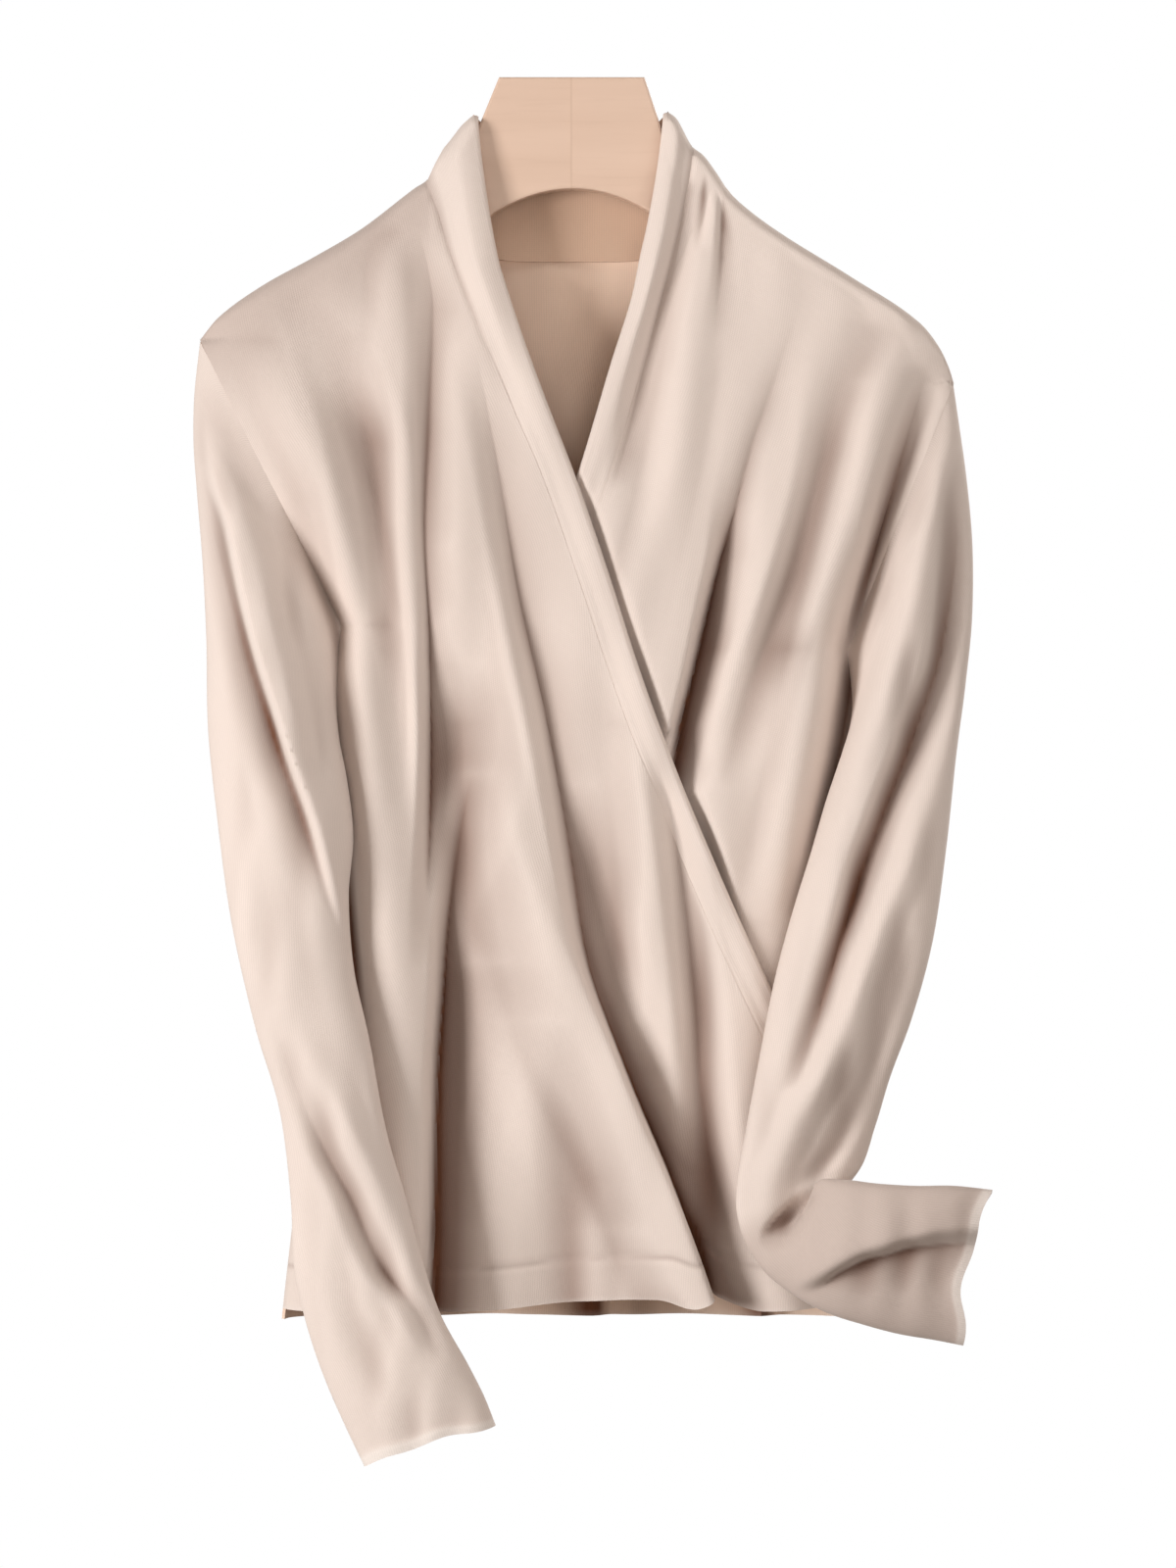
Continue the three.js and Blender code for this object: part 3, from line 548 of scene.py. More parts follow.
def colour(red: float, green: float, blue: float) -> tuple[float, float, float, float]:
    """A colour given as it looks on a screen, from 0 to 255, made linear."""
    def linear(value: float) -> float:
        """One channel made linear."""
        share = value / 255.0
        return share / 12.92 if share <= 0.04045 else ((share + 0.055) / 1.055) ** 2.4
    return linear(red), linear(green), linear(blue), 1.0


def knit_group() -> bpy.types.NodeTree:
    """The fine knit as a node group, built once.

    Returns:
        A group that gives the height of the stitches and of the fuzz, and a slow change of tone.
    """
    known = bpy.data.node_groups.get("fine_knit")
    if known:
        return known
    tree = bpy.data.node_groups.new("fine_knit", "ShaderNodeTree")
    for name, kind in (("Flat", "NodeSocketVector"), ("Place", "NodeSocketVector"),
                       ("Wale", "NodeSocketFloat"),
                       ("Row", "NodeSocketFloat")):
        tree.interface.new_socket(name, in_out="INPUT", socket_type=kind)
    for name in ("Stitch", "Fuzz", "Tone"):
        tree.interface.new_socket(name, in_out="OUTPUT", socket_type="NodeSocketFloat")
    wire = Wiring(tree)
    entry, out = wire.node("NodeGroupInput"), wire.node("NodeGroupOutput")
    split = wire.node("ShaderNodeSeparateXYZ")
    wire.feed(entry.outputs["Flat"], split.inputs[0])
    bend = wire.math("MULTIPLY", wire.math("SUBTRACT", wire.noise(entry.outputs["Flat"], 60.0), 0.5), 0.0012)
    across = wire.math("FRACT",
                       wire.math("DIVIDE", wire.math("ADD", split.outputs[0], bend), entry.outputs["Wale"]))
    slant = wire.math("ABSOLUTE", wire.math("MULTIPLY", wire.math("SUBTRACT", across, 0.5), 2.0))
    down = wire.math("ADD", wire.math("DIVIDE", split.outputs[1], entry.outputs["Row"]),
                     wire.math("MULTIPLY", slant, 0.6))
    loop = wire.math("ADD",
                     wire.math("MULTIPLY", wire.math("SINE", wire.math("MULTIPLY", down, 2 * math.pi)), 0.25),
                     0.75)
    rib = wire.math("SUBTRACT", 1.0, wire.math("POWER", slant, 2.0))
    wire.feed(wire.math("MULTIPLY", rib, loop), out.inputs["Stitch"])
    wire.feed(wire.noise(entry.outputs["Place"], 1100.0, 3.0), out.inputs["Fuzz"])
    wire.feed(wire.noise(entry.outputs["Place"], 14.0, 3.0, (1.0, 1.0, 0.35)), out.inputs["Tone"])
    return tree


@dataclass(frozen=True)
class KnitFinish:
    """Fine plain knit, matt and soft, with painted shade, darker and warmer, down in its creases and other
    shaded places, and a painted highlight along its edges.
    """

    name: str
    base: tuple[float, float, float, float]
    # Colour of the painted shade, mixed in by the crease attribute.
    deep: tuple[float, float, float, float]
    wale: float = 0.0012
    row: float = 0.0010

    def material(self) -> bpy.types.Material:
        """Builds the material on the cloth's own map, its crease attribute of painted shade and its rim
        attribute of painted highlight.
        """
        made = bpy.data.materials.new(self.name)
        made.use_nodes = True
        made.node_tree.nodes.clear()
        wire = Wiring(made.node_tree)
        flat, place = wire.node("ShaderNodeUVMap", uv_map="flat"), wire.node("ShaderNodeTexCoord")
        knit = wire.node("ShaderNodeGroup", node_tree=knit_group())
        wire.feed(flat.outputs[0], knit.inputs["Flat"])
        wire.feed(place.outputs["Object"], knit.inputs["Place"])
        knit.inputs["Wale"].default_value, knit.inputs["Row"].default_value = self.wale, self.row
        # Painted shade: the crease attribute mixes the base colour towards the deep colour.
        crease = wire.node("ShaderNodeAttribute", attribute_name="crease")
        rim = wire.node("ShaderNodeAttribute", attribute_name="rim")
        tone = wire.blend(crease.outputs["Fac"], self.base, self.deep)
        # Painted highlight: the rim attribute lightens the colour along the hem's and cuff's edges.
        tone = wire.blend(wire.math("MULTIPLY", rim.outputs["Fac"], 0.5), tone, colour(252, 246, 240))
        shade = wire.math("MULTIPLY", wire.ramp(knit.outputs["Tone"], 0.3, 0.7, 0.945, 1.03),
                          wire.ramp(knit.outputs["Stitch"], 0.0, 1.0, 0.905, 1.02))
        grey = wire.node("ShaderNodeCombineColor")
        for socket in grey.inputs:
            wire.feed(shade, socket)
        tone = wire.blend(1.0, tone, grey.outputs[0], "MULTIPLY")
        height = wire.math("ADD", wire.math("MULTIPLY", knit.outputs["Stitch"], 0.7),
                           wire.math("MULTIPLY", knit.outputs["Fuzz"], 0.5))
        bump = wire.node("ShaderNodeBump")
        bump.inputs["Strength"].default_value = 0.25
        bump.inputs["Distance"].default_value = 0.0005
        wire.feed(height, bump.inputs["Height"])
        shader, out = wire.node("ShaderNodeBsdfPrincipled"), wire.node("ShaderNodeOutputMaterial")
        wire.feed(tone, shader.inputs["Base Color"])
        wire.feed(wire.ramp(knit.outputs["Fuzz"], 0.3, 0.7, 0.82, 0.95), shader.inputs["Roughness"])
        wire.feed(bump.outputs[0], shader.inputs["Normal"])
        shader.inputs["Specular IOR Level"].default_value = 0.1
        shader.inputs["Sheen Weight"].default_value = 0.3
        shader.inputs["Sheen Roughness"].default_value = 0.45
        shader.inputs["Sheen Tint"].default_value = (1.0, 0.95, 0.9, 1.0)
        wire.feed(shader.outputs[0], out.inputs[0])
        return made


@dataclass(frozen=True)
class WoodFinish:
    """Pale beech with a clear satin finish, two boards joined at the middle of the head."""

    name: str = "pale_beech"
    light: tuple[float, float, float, float] = colour(221, 192, 171)
    dark: tuple[float, float, float, float] = colour(200, 168, 145)

    def material(self) -> bpy.types.Material:
        """Builds the material, its grain running out along both arms."""
        made = bpy.data.materials.new(self.name)
        made.use_nodes = True
        made.node_tree.nodes.clear()
        wire = Wiring(made.node_tree)
        place, split = wire.node("ShaderNodeTexCoord"), wire.node("ShaderNodeSeparateXYZ")
        wire.feed(place.outputs["Object"], split.inputs[0])
        joined = wire.node("ShaderNodeCombineXYZ")
        wire.feed(wire.math("ABSOLUTE", split.outputs[0]), joined.inputs[0])
        wire.feed(wire.ramp(split.outputs[0], -0.0001, 0.0001, 0.0, 0.7), joined.inputs[1])
        wire.feed(split.outputs[2], joined.inputs[2])
        grain = wire.noise(joined.outputs[0], 34.0, 5.0, (0.10, 1.0, 1.6), math.radians(-38))
        pore = wire.noise(joined.outputs[0], 420.0, 2.0, (0.06, 1.0, 1.0), math.radians(-38))
        share = wire.math("ADD", wire.ramp(grain, 0.35, 0.7, 0.0, 0.3),
                          wire.ramp(pore, 0.55, 0.75, 0.0, 0.16))
        tone = wire.blend(share, self.light, self.dark)
        line = wire.ramp(wire.math("ABSOLUTE", split.outputs[0]), 0.0002, 0.0007, 0.45, 0.0)
        tone = wire.blend(line, tone, self.dark)
        bump = wire.node("ShaderNodeBump")
        bump.inputs["Strength"].default_value = 0.25
        bump.inputs["Distance"].default_value = 0.0002
        wire.feed(wire.math("SUBTRACT", grain, wire.math("MULTIPLY", pore, 0.6)), bump.inputs["Height"])
        shader, out = wire.node("ShaderNodeBsdfPrincipled"), wire.node("ShaderNodeOutputMaterial")
        wire.feed(tone, shader.inputs["Base Color"])
        wire.feed(wire.ramp(grain, 0.3, 0.7, 0.42, 0.55), shader.inputs["Roughness"])
        wire.feed(bump.outputs[0], shader.inputs["Normal"])
        shader.inputs["Coat Weight"].default_value = 0.15
        shader.inputs["Coat Roughness"].default_value = 0.35
        wire.feed(shader.outputs[0], out.inputs[0])
        return made


@dataclass
class ClothGrid:
    """A cloth laid out as rows of points, with the share of painted shade (crease) and of painted highlight
    (rim) at each point.
    """

    points: Array
    crease: Array
    rim: Array
    tube: bool = False
    flip: bool = False

    def arc(self) -> tuple[Array, Array]:
        """How far each point lies along the cloth, across and down, in millimetres."""
        wide = np.linalg.norm(np.diff(self.points, axis=1), axis=2)
        long = np.linalg.norm(np.diff(self.points, axis=0), axis=2)
        across = np.concatenate([np.zeros((len(wide), 1)), np.cumsum(wide, axis=1)], axis=1)
        down = np.concatenate([np.zeros((1, long.shape[1])), np.cumsum(long, axis=0)], axis=0)
        return across - across.mean(axis=1, keepdims=True), down

    def area(self) -> float:
        """Area of the cloth in square millimetres."""
        p = self.points
        first = np.cross(p[1:, :-1] - p[:-1, :-1], p[:-1, 1:] - p[:-1, :-1])
        second = np.cross(p[1:, :-1] - p[1:, 1:], p[:-1, 1:] - p[1:, 1:])
        return float((np.linalg.norm(first, axis=2) + np.linalg.norm(second, axis=2)).sum() / 2)


def cavity(depth: Array, step: float = 2.4, reach: float = 13.0, full: float = 6.0) -> Array:
    """How deep each point lies below the cloth around it, from 0 to 1.

    Args:
        depth: Height of the cloth at each point of its grid.
        step: Usual distance between points, in millimetres.
        reach: How far around it the cloth is looked at.
        full: Depth that counts as 1.

    Returns:
        The share for each point.
    """
    half = max(1, int(reach / step))
    smooth = depth
    for axis in (0, 1):
        for _ in range(2):
            pad = [(half, half) if a == axis else (0, 0) for a in range(2)]
            line = np.cumsum(np.pad(smooth, pad, mode="edge"), axis=axis)
            high = np.take(line, range(2 * half, line.shape[axis]), axis=axis)
            low = np.take(line, range(0, line.shape[axis] - 2 * half), axis=axis)
            smooth = (high - low) / (2 * half)
    return np.clip((smooth - depth) / full, 0, 1)


def creases(height: Array, step: float = 2.4) -> Array:
    """Share of painted crease shade at each point, from how deep it lies in a crease and in the wider hollow
    round it, from 0 to 1.
    """
    close = cavity(height, step, 10.0, 4.0)
    wide = cavity(height, step, 38.0, 8.0)
    return 1 - (1 - 0.92 * close) * (1 - 0.6 * wide)


def make_cloth(name: str, grid: ClothGrid, unit: float, finish: bpy.types.Material,
               inner: bpy.types.Material | None = None, wall: float = CLOTH_WALL) -> bpy.types.Object:
    """A cloth piece with its wall.

    Args:
        name: Name of the piece.
        grid: Its points.
        unit: Metres in a millimetre of the frame.
        finish: Its material.
        inner: The material of the side that faces the front, where it is another: a lighter or darker copy of
            the knit that paints light or shade on that side.
        wall: Thickness in millimetres.

    Returns:
        The object, at the origin, with its place in its mesh.
    """
    rows, columns = grid.points.shape[:2]
    mesh = bmesh.new()
    bmesh.ops.create_grid(mesh, x_segments=columns - 1, y_segments=rows - 1, size=0.5)
    mesh.verts.ensure_lookup_table()
    spots = np.array([vertex.co[:2] for vertex in mesh.verts])
    low, high = spots.min(axis=0), spots.max(axis=0)
    spots = (spots - low) / (high - low)
    col = np.rint(spots[:, 0] * (columns - 1)).astype(int)
    row = np.rint((1 - spots[:, 1]) * (rows - 1)).astype(int)
    across, down = grid.arc()
    flat = mesh.loops.layers.uv.new("flat")
    for face in mesh.faces:
        for loop in face.loops:
            i = loop.vert.index
            loop[flat].uv = (across[row[i], col[i]] / 1000, -down[row[i], col[i]] / 1000)
    # The crease attribute holds the painted shade, the rim attribute the painted highlight.
    layers = {label: mesh.verts.layers.float.new(label) for label in ("crease", "rim")}
    for vertex, r, c in zip(mesh.verts, row, col):
        vertex.co = Vector(grid.points[r, c]) * unit
        vertex[layers["crease"]] = float(grid.crease[r, c])
        vertex[layers["rim"]] = float(grid.rim[r, c])
    if grid.tube:
        bmesh.ops.remove_doubles(mesh, verts=mesh.verts, dist=1e-6)
    if grid.flip:
        bmesh.ops.reverse_faces(mesh, faces=mesh.faces)
    for face in mesh.faces:
        face.smooth = True
    data = bpy.data.meshes.new(name)
    mesh.to_mesh(data)
    mesh.free()
    made = bpy.data.objects.new(name, data)
    bpy.context.scene.collection.objects.link(made)
    data.materials.append(finish)
    solid = made.modifiers.new("wall", "SOLIDIFY")
    solid.thickness = wall * unit
    solid.offset = 0.0
    bpy.context.view_layer.update()
    walled = bpy.data.meshes.new_from_object(made.evaluated_get(bpy.context.evaluated_depsgraph_get()))
    made.modifiers.clear()
    made.data = walled
    mesh = bmesh.new()
    mesh.from_mesh(walled)
    for edge in mesh.edges:
        edge.smooth = edge.calc_face_angle(0.0) < math.radians(55)
    # The side facing the front takes the other material, a lighter or darker copy of the knit that paints
    # light or shade there.
    if inner:
        walled.materials.append(inner)
        for face in mesh.faces:
            face.material_index = 1 if face.normal.y < 0 else 0
    mesh.to_mesh(walled)
    mesh.free()
    LOG.info("%s: %d points, %.0f square centimetres", name, len(data.vertices), grid.area() / 100)
    return made


def hung_grid(columns: int, rows: int, left: Line, right: Line, top: Line, hem: Line,
              fall: float = 1.12) -> tuple[Array, Array]:
    """Places of a panel hung from its top line, whose columns run from the shoulder to the hem.

    Args:
        columns: Steps across.
        rows: Steps down.
        left: Left edge at each height.
        right: Right edge at each height.
        top: Top line at each place across.
        hem: Lower edge at each place across.
        fall: How much the rows crowd towards the top.

    Returns:
        The places across and down, one row for each step down.
    """
    share = np.linspace(0, 1, columns + 1)[None, :]
    share = mix(share, 0.5 - 0.5 * np.cos(math.pi * share), 0.35)
    t = (np.linspace(0, 1, rows + 1) ** fall)[:, None]
    x = mix(left(np.array(-90.0)), right(np.array(-90.0)), share)
    upper = top(x)
    for _ in range(14):
        x = mix(left(upper), right(upper), share)
        upper = top(x)
    z = upper + 0 * t
    for _ in range(6):
        z = mix(upper, hem(x), t)
        x = mix(left(z), right(z), share)
    return x, z


def hem_lift(z: Array, edge: Array, width: float = 21.0) -> Array:
    """Height of the turned hem: a fold of double cloth, with a stitched groove along its top."""
    up = z - edge
    return 0.55 * ease((width - up) / 2.5) - 0.8 * np.exp(-(((up - width - 0.8) / 1.1) ** 2))


@dataclass
class Panels:
    """The two fronts and the back, hung from the shoulders."""

    form: GarmentForm
    unit: float
    outside: bpy.types.Material
    inside: bpy.types.Material | None = None
    over_steps: tuple[int, int] = (176, 250)
    under_steps: tuple[int, int] = (140, 220)
    back_steps: tuple[int, int] = (120, 170)
    nape: dict[str, float] = field(default_factory=lambda: {"x": 73.0, "side": -52.0, "seam": -91.0})

    def build_over(self) -> bpy.types.Object:
        """The front on top, from the viewer's left shoulder across to the right side seam."""
        body = self.form.body

        def right(z: Array) -> Array:
            """Its neck seam, as far as the right side seam."""
            own = np.minimum(self.form.over_seam(z), body.side_x(z, Hand.RIGHT))
            return np.where(z > -54, -73.0, own)

        x, z = hung_grid(*self.over_steps, lambda z: body.side_x(z, Hand.LEFT), right,
                         lambda x: body.shoulder_z(np.minimum(x, -73.0)), self.form.hem)
        depth, shift = self.form.over(x, z)
        depth = depth + hem_lift(z, self.form.hem(x)) - self.seam_groove(x, z, self.form.over_seam)
        folded = self.form.folded(OVER_FOLDS, x, z)
        return self.finish("knit_front_over", x + shift, -depth, z, folded, z - self.form.hem(x))

    def build_under(self) -> bpy.types.Object:
        """The front under it, from the right shoulder across to the left side seam."""
        body = self.form.body

        def inset(z: Array) -> Array:
            """How far it lies inside the side seams that it shares with the front on top."""
            return 6 * ease((-565 - z) / 26)

        def left(z: Array) -> Array:
            """Its neck seam, as far as the left side seam."""
            own = np.maximum(self.form.under_seam(z), body.side_x(z, Hand.LEFT) + inset(z))
            return np.where(z > -38, 61.5, own)

        x, z = hung_grid(*self.under_steps, left, lambda z: body.side_x(z, Hand.RIGHT) - inset(z),
                         lambda x: body.shoulder_z(np.maximum(x, 61.5)), lambda x: self.form.hem(x) + 3)
        groove = self.seam_groove(x, z, self.form.under_seam) * (z > -210)
        depth = self.form.under_depth(x, z) - groove
        folded = self.form.folded(UNDER_FOLDS, x, z)
        return self.finish("knit_front_under", x, -depth, z, folded, z - self.form.hem(x) - 3)

    def build_back(self) -> bpy.types.Object:
        """The back, from its neckband's seam and both shoulders down to the hem."""
        body, nape = self.form.body, self.nape

        def top(x: Array) -> Array:
            """The shoulder line, dipping to the neckband's seam between the neck points."""
            dip = mix(nape["seam"], nape["side"], np.abs(np.clip(x / nape["x"], -1, 1)) ** 5)
            return np.where(np.abs(x) > nape["x"], body.shoulder_z(x), dip)

        def edge(x: Array) -> Array:
            """The hem, a little lower than the fronts'."""
            return -633.0 + 0 * x

        x, z = hung_grid(*self.back_steps,
                         lambda z: body.side_x(z, Hand.LEFT), lambda z: body.side_x(z, Hand.RIGHT),
                         top, edge)
        depth = self.form.back_depth(x, z) + hem_lift(z, edge(x))
        folded = self.form.folded(BACK_FOLDS, x, z)
        return self.finish("knit_back", x, depth, z, folded, z - edge(x), flip=True)

    def seam_groove(self, x: Array, z: Array, seam: Line) -> Array:
        """How far the cloth is drawn in beside a neckband's seam."""
        return 1.3 * np.exp(-(((x - seam(z)) / 2.2) ** 2)) * ease((z + 165) / 60)

    def finish(self, name: str, x: Array, y: Array, z: Array, folded: Array, up: Array,
               flip: bool = False) -> bpy.types.Object:
        """Makes a panel's cloth, with painted shade and a painted highlight in its attributes.

        Args:
            name: Name of the piece.
            x: Places across.
            y: Places from the front to the back.
            z: Places down.
            folded: Height of the main folds, which tells where the creases are.
            up: Distance of each point above the hem.
            flip: Whether the outside faces away from the front.

        Returns:
            The object.
        """
        points = np.stack([x, y, z], axis=2)
        # Painted shade along the hem's stitched groove.
        stitched = 0.28 * np.exp(-(((up - 21.8) / 1.1) ** 2))
        # Painted shade on the upper chest and shoulder left of the middle, darkest at the shoulder line.
        below = self.form.body.shoulder_z(x) - z
        shoulder = 0.22 * ease(1 - below / 70) + 0.08 * ease((z + 400) / 200)
        tone = np.maximum(creases(folded), stitched) + shoulder * ease((30 - x) / 60)
        # Painted highlight within 3 mm of the hem's lower edge, through the rim share.
        grid = ClothGrid(points, tone, 0.35 * ease(1 - up / 3), flip=flip)
        return make_cloth(name, grid, self.unit, self.outside, self.inside)


@dataclass
class Neckbands:
    """The bands round the neck, rolled forward between their seam and their edge."""

    form: GarmentForm
    unit: float
    outside: bpy.types.Material
    inside: bpy.types.Material | None = None
    tops: dict[Hand, tuple[float, float]] = field(
        default_factory=lambda: {Hand.LEFT: (-48.0, -20.0), Hand.RIGHT: (47.5, -18.5)})
    rows: int = 240
    columns: int = 30
    roll: float = 4.6
    low_roll: float = 1.4
    curl: float = 2.1
    flat_share: float = 0.66
    curl_share: float = 0.22
    tuck: float = 5.0

    def section(self) -> tuple[Array, Array]:
        """The band's section: each point's share of the way to the edge, and its angle round the curl."""
        q = np.linspace(0, 1, self.columns + 1)[None, :]
        width = np.clip(q / self.flat_share, 0, 1)
        turn = math.pi * np.clip((q - self.flat_share) / self.curl_share, 0, 1)
        return width, turn

    def along_front(self, name: str, hand: Hand, seam: Line, edge: Line, surface: Surface, start: float,
                    end: float) -> bpy.types.Object:
        """A band along a front, from the collar's top down to its lower end.

        Args:
            name: Name of the piece.
            hand: The shoulder on which it starts.
            seam: Its seam with the front at each height.
            edge: Its edge at each height.
            surface: Depth of the front on which it lies.
            start: Height of its first row, at the neck point.
            end: Height of its last row.

        Returns:
            The object.
        """
        body, toward = self.form.body, -hand.value
        t = (np.linspace(0, 1, self.rows + 1) ** 1.15)[:, None]
        z0 = mix(start, end, t)
        lift = 1 - ease((start - z0) / 46.0)
        top = self.tops[hand]
        width, turn = self.section()
        q = np.linspace(0, 1, self.columns + 1)[None, :]
        back = np.clip((q - self.flat_share - self.curl_share)
                       / (1 - self.flat_share - self.curl_share), 0, 1)
        seam_x, edge_x = seam(z0) - toward * 0.4, mix(edge(z0), top[0], lift)
        edge_z = mix(z0, top[1], lift)
        reach = edge_x - toward * self.curl
        x = mix(seam_x, reach, width)
        z = mix(z0, edge_z, width) + lift * 5.0 * np.sin(math.pi * width) ** 1.2
        low = body.shoulder_z(x)
        z = np.minimum(z, low)
        settled = ease((start - z0) / 14.0)
        high = ease((z0 + 190) / 90)
        rise = mix(self.low_roll * ease((width - 0.3) / 0.5),
                   self.roll * (0.2 + 0.8 * ease((width - 0.12) / 0.5))
                   * np.sin(math.pi * (0.06 + 0.80 * width)) ** 0.7,
                   high)
        depth = surface(x, z) + rise * settled - (0.3 + 0.9 * high) * np.exp(-((width / 0.1) ** 2))
        depth_edge = depth[:, [int(np.argmax(q[0] >= self.flat_share))]]
        on_curl = turn > 0
        curl = self.curl * mix(0.35, 1.0, ease((start - z0) / 24.0))
        tuck = self.tuck * ease((start - z0) / 24.0)
        x = np.where(on_curl, reach + toward * self.curl * np.sin(turn) - toward * tuck * back, x)
        depth = np.where(on_curl, depth_edge - curl * (1 - np.cos(turn)), depth)
        z = np.where(on_curl, z[:, [int(np.argmax(q[0] >= self.flat_share))]], z)
        points = np.stack([x, -depth, z], axis=2)
        # Painted shade beside the band's seam on its upper part, and under its turned curl.
        crease = np.clip(1 - width / 0.16, 0, 1) * 0.35 * high + 0.6 * np.clip(turn / math.pi - 0.55, 0, 1)
        grid = ClothGrid(points, crease + 0 * z, 0 * z, flip=hand is Hand.RIGHT)
        return make_cloth(name, grid, self.unit, self.outside)

    def build_over(self) -> bpy.types.Object:
        """The band of the front on top."""
        return self.along_front("knit_neckband_over", Hand.LEFT, self.form.over_seam, self.form.over_edge,
                                self.form.over_depth, -54.0, -516.0)

    def build_under(self) -> bpy.types.Object:
        """The band of the front under it."""
        return self.along_front(
            "knit_neckband_under", Hand.RIGHT, self.form.under_seam, self.form.under_edge,
            self.form.under_depth, -38.0, -470.0)

    def build_back(self) -> bpy.types.Object:
        """The band behind the neck, which joins the tops of both."""
        width, turn = self.section()
        width, turn = width.T, turn.T
        u = np.linspace(-1, 1, 161)[None, :]
        seam_x = u * 72.0
        edge_x = np.where(u < 0, np.abs(u) * (self.tops[Hand.LEFT][0] - 1.8),
                          np.abs(u) * (self.tops[Hand.RIGHT][0] + 1.8))
        top = np.where(u < 0, self.tops[Hand.LEFT][1], self.tops[Hand.RIGHT][1]) + 1.0
        edge_z = mix(-40.0, top, np.abs(u) ** 2.4)
        seam_z = mix(-91.0, -52.0, np.abs(u * 72.0 / 73.0) ** 5) - 2.0
        stand = 1.2 + 9.6 * np.sqrt(1 - np.abs(u) ** 8)
        x = mix(seam_x, edge_x, width)
        z = mix(seam_z, edge_z - self.curl, width)
        settled = ease((1 - np.abs(u)) / 0.2)
        y = stand + 1.5 * np.sin(math.pi * width) * settled
        y = y + self.curl * (1 - np.cos(turn)) * settled
        z = z + self.curl * np.sin(turn)
        points = np.stack([x, y, z], axis=2)
        # Painted shade over the band behind the neck, darker towards its top edge under the hanger.
        crease = 0.08 + 0.1 * ease((width - 0.35) / 0.4) + 0 * z
        return make_cloth("knit_neckband_back", ClothGrid(points, crease, 0 * z), self.unit, self.outside,
                          self.inside)


class Section(NamedTuple):
    """A section of a sleeve: its outer and inner ends, its middle in y, its half depth and its lean."""

    outer_x: float
    outer_z: float
    inner_x: float
    inner_z: float
    middle: float
    half: float
    lean: float


LEFT_SECTIONS = (
    Section(-191.5, -160, -117.5, -291, -1, 24, -4), Section(-192, -184, -118.5, -304, -6, 26, -12),
    Section(-190, -212, -119.5, -320, -13, 25, -20), Section(-187, -245, -118, -337, -20, 23, -22),
    Section(-184.5, -285, -114, -357, -28, 21, -20), Section(-183, -332, -110.5, -386, -37, 19, -16),
    Section(-177.5, -379, -112.5, -416, -46, 17, -10), Section(-170, -429, -110, -452, -52, 15, 0),
    Section(-158, -481, -102, -488, -58, 13, 0), Section(-145, -525, -93, -535, -62.5, 12, 0),
    Section(-139.5, -570, -83, -569, -64, 12, 0), Section(-138, -602, -75, -599, -64, 12, 0),
    Section(-132, -630, -66, -626, -63, 13, 0), Section(-122, -660, -52, -652, -60, 16, 0),
    Section(-112, -683, -44, -668, -59, 15, 0), Section(-103, -702, -38.5, -682, -58, 13, 0),
)
RIGHT_SECTIONS = (
    Section(197.5, -180, 142.5, -303, -2, 23, -4), Section(200.5, -202, 143.5, -316, -7, 25, -12),
    Section(203.5, -238, 142, -330, -15, 24, -18), Section(203, -275, 137.5, -345, -22, 22, -18),
    Section(199.5, -308, 130, -367, -26, 23, -16), Section(194, -345, 121.5, -395, -36, 22, -10),
    Section(188.5, -390, 112, -425, -46, 20, -4), Section(181, -438, 103, -458, -55, 19, 0),
    Section(170, -478, 95, -498, -59, 18, 0), Section(159, -508, 88, -535, -60, 15, -4),
    Section(152, -532, 84, -558, -59, 12, -10), Section(144, -554, 84, -576, -59, 10, -14),
    Section(131, -567, 89, -591, -63, 9, -12), Section(121, -568, 98, -604, -71, 9, -4),
    Section(123, -559, 111, -614, -79, 10, 3), Section(136, -557.5, 128, -623, -85, 13, 10),
    Section(152, -559, 146, -629, -87, 14, 18), Section(171, -560, 164, -634, -86, 14, 24),
    Section(190, -560, 181, -637, -85, 14, 26), Section(209, -562, 196, -640, -84, 12, 26),
)
LEFT_SLEEVE_FOLDS = (
    ridge("front lobe, overlapping the one behind",
          (-160, -187, 0, 5, 40, 0), (-200, -181, 6, 5, 40, -1), (-231, -171, 9, 4.5, 42, -1.5),
          (-280, -159, 11, 4.5, 42, -2), (-339, -140, 12, 4.5, 34, -2), (-382, -125, 10, 4.5, 24, -1.5),
          (-421, -114, 6, 4.5, 14, -1), (-446, -107, 0, 4, 10, 0), crisp=0.3),
    trough("hollow under that lobe",
           (-200, -188, 0, 10, 4), (-240, -178, 4, 12, 4), (-290, -165, 6, 13, 4), (-345, -147, 6, 13, 4),
           (-390, -131, 5, 12, 4), (-430, -119, 0, 10, 4), crisp=0.4),
    trough("soft crease below the armhole",
           (-195, -163, 0, 8, 8), (-250, -146, 3, 8, 8), (-300, -133, 4.5, 8, 7), (-350, -123, 3, 6, 6),
           (-392, -116, 0, 6, 6)),
    trough("slanting crease of the forearm",
           (-475, -149, 0, 8, 8), (-500, -141.5, 3, 7, 10), (-535.5, -127, 6, 7, 13),
           (-567.5, -110.5, 8, 7, 16),
           (-602, -95, 8, 7, 16), (-621, -79, 6, 7, 12), (-650, -64, 0, 6, 8), crisp=0.3),
    ridge("swell above that crease",
          (-490, -128, 0, 8, 8), (-525, -113, 3, 9, 8), (-567, -95, 4, 9, 8), (-600, -82, 3, 8, 8),
          (-625, -68, 0, 8, 8)),
    trough("long dent to the cuff",
           (-590, -122, 0, 8, 8), (-640, -104, 1.6, 9, 9), (-690, -82, 0, 9, 9)),
)
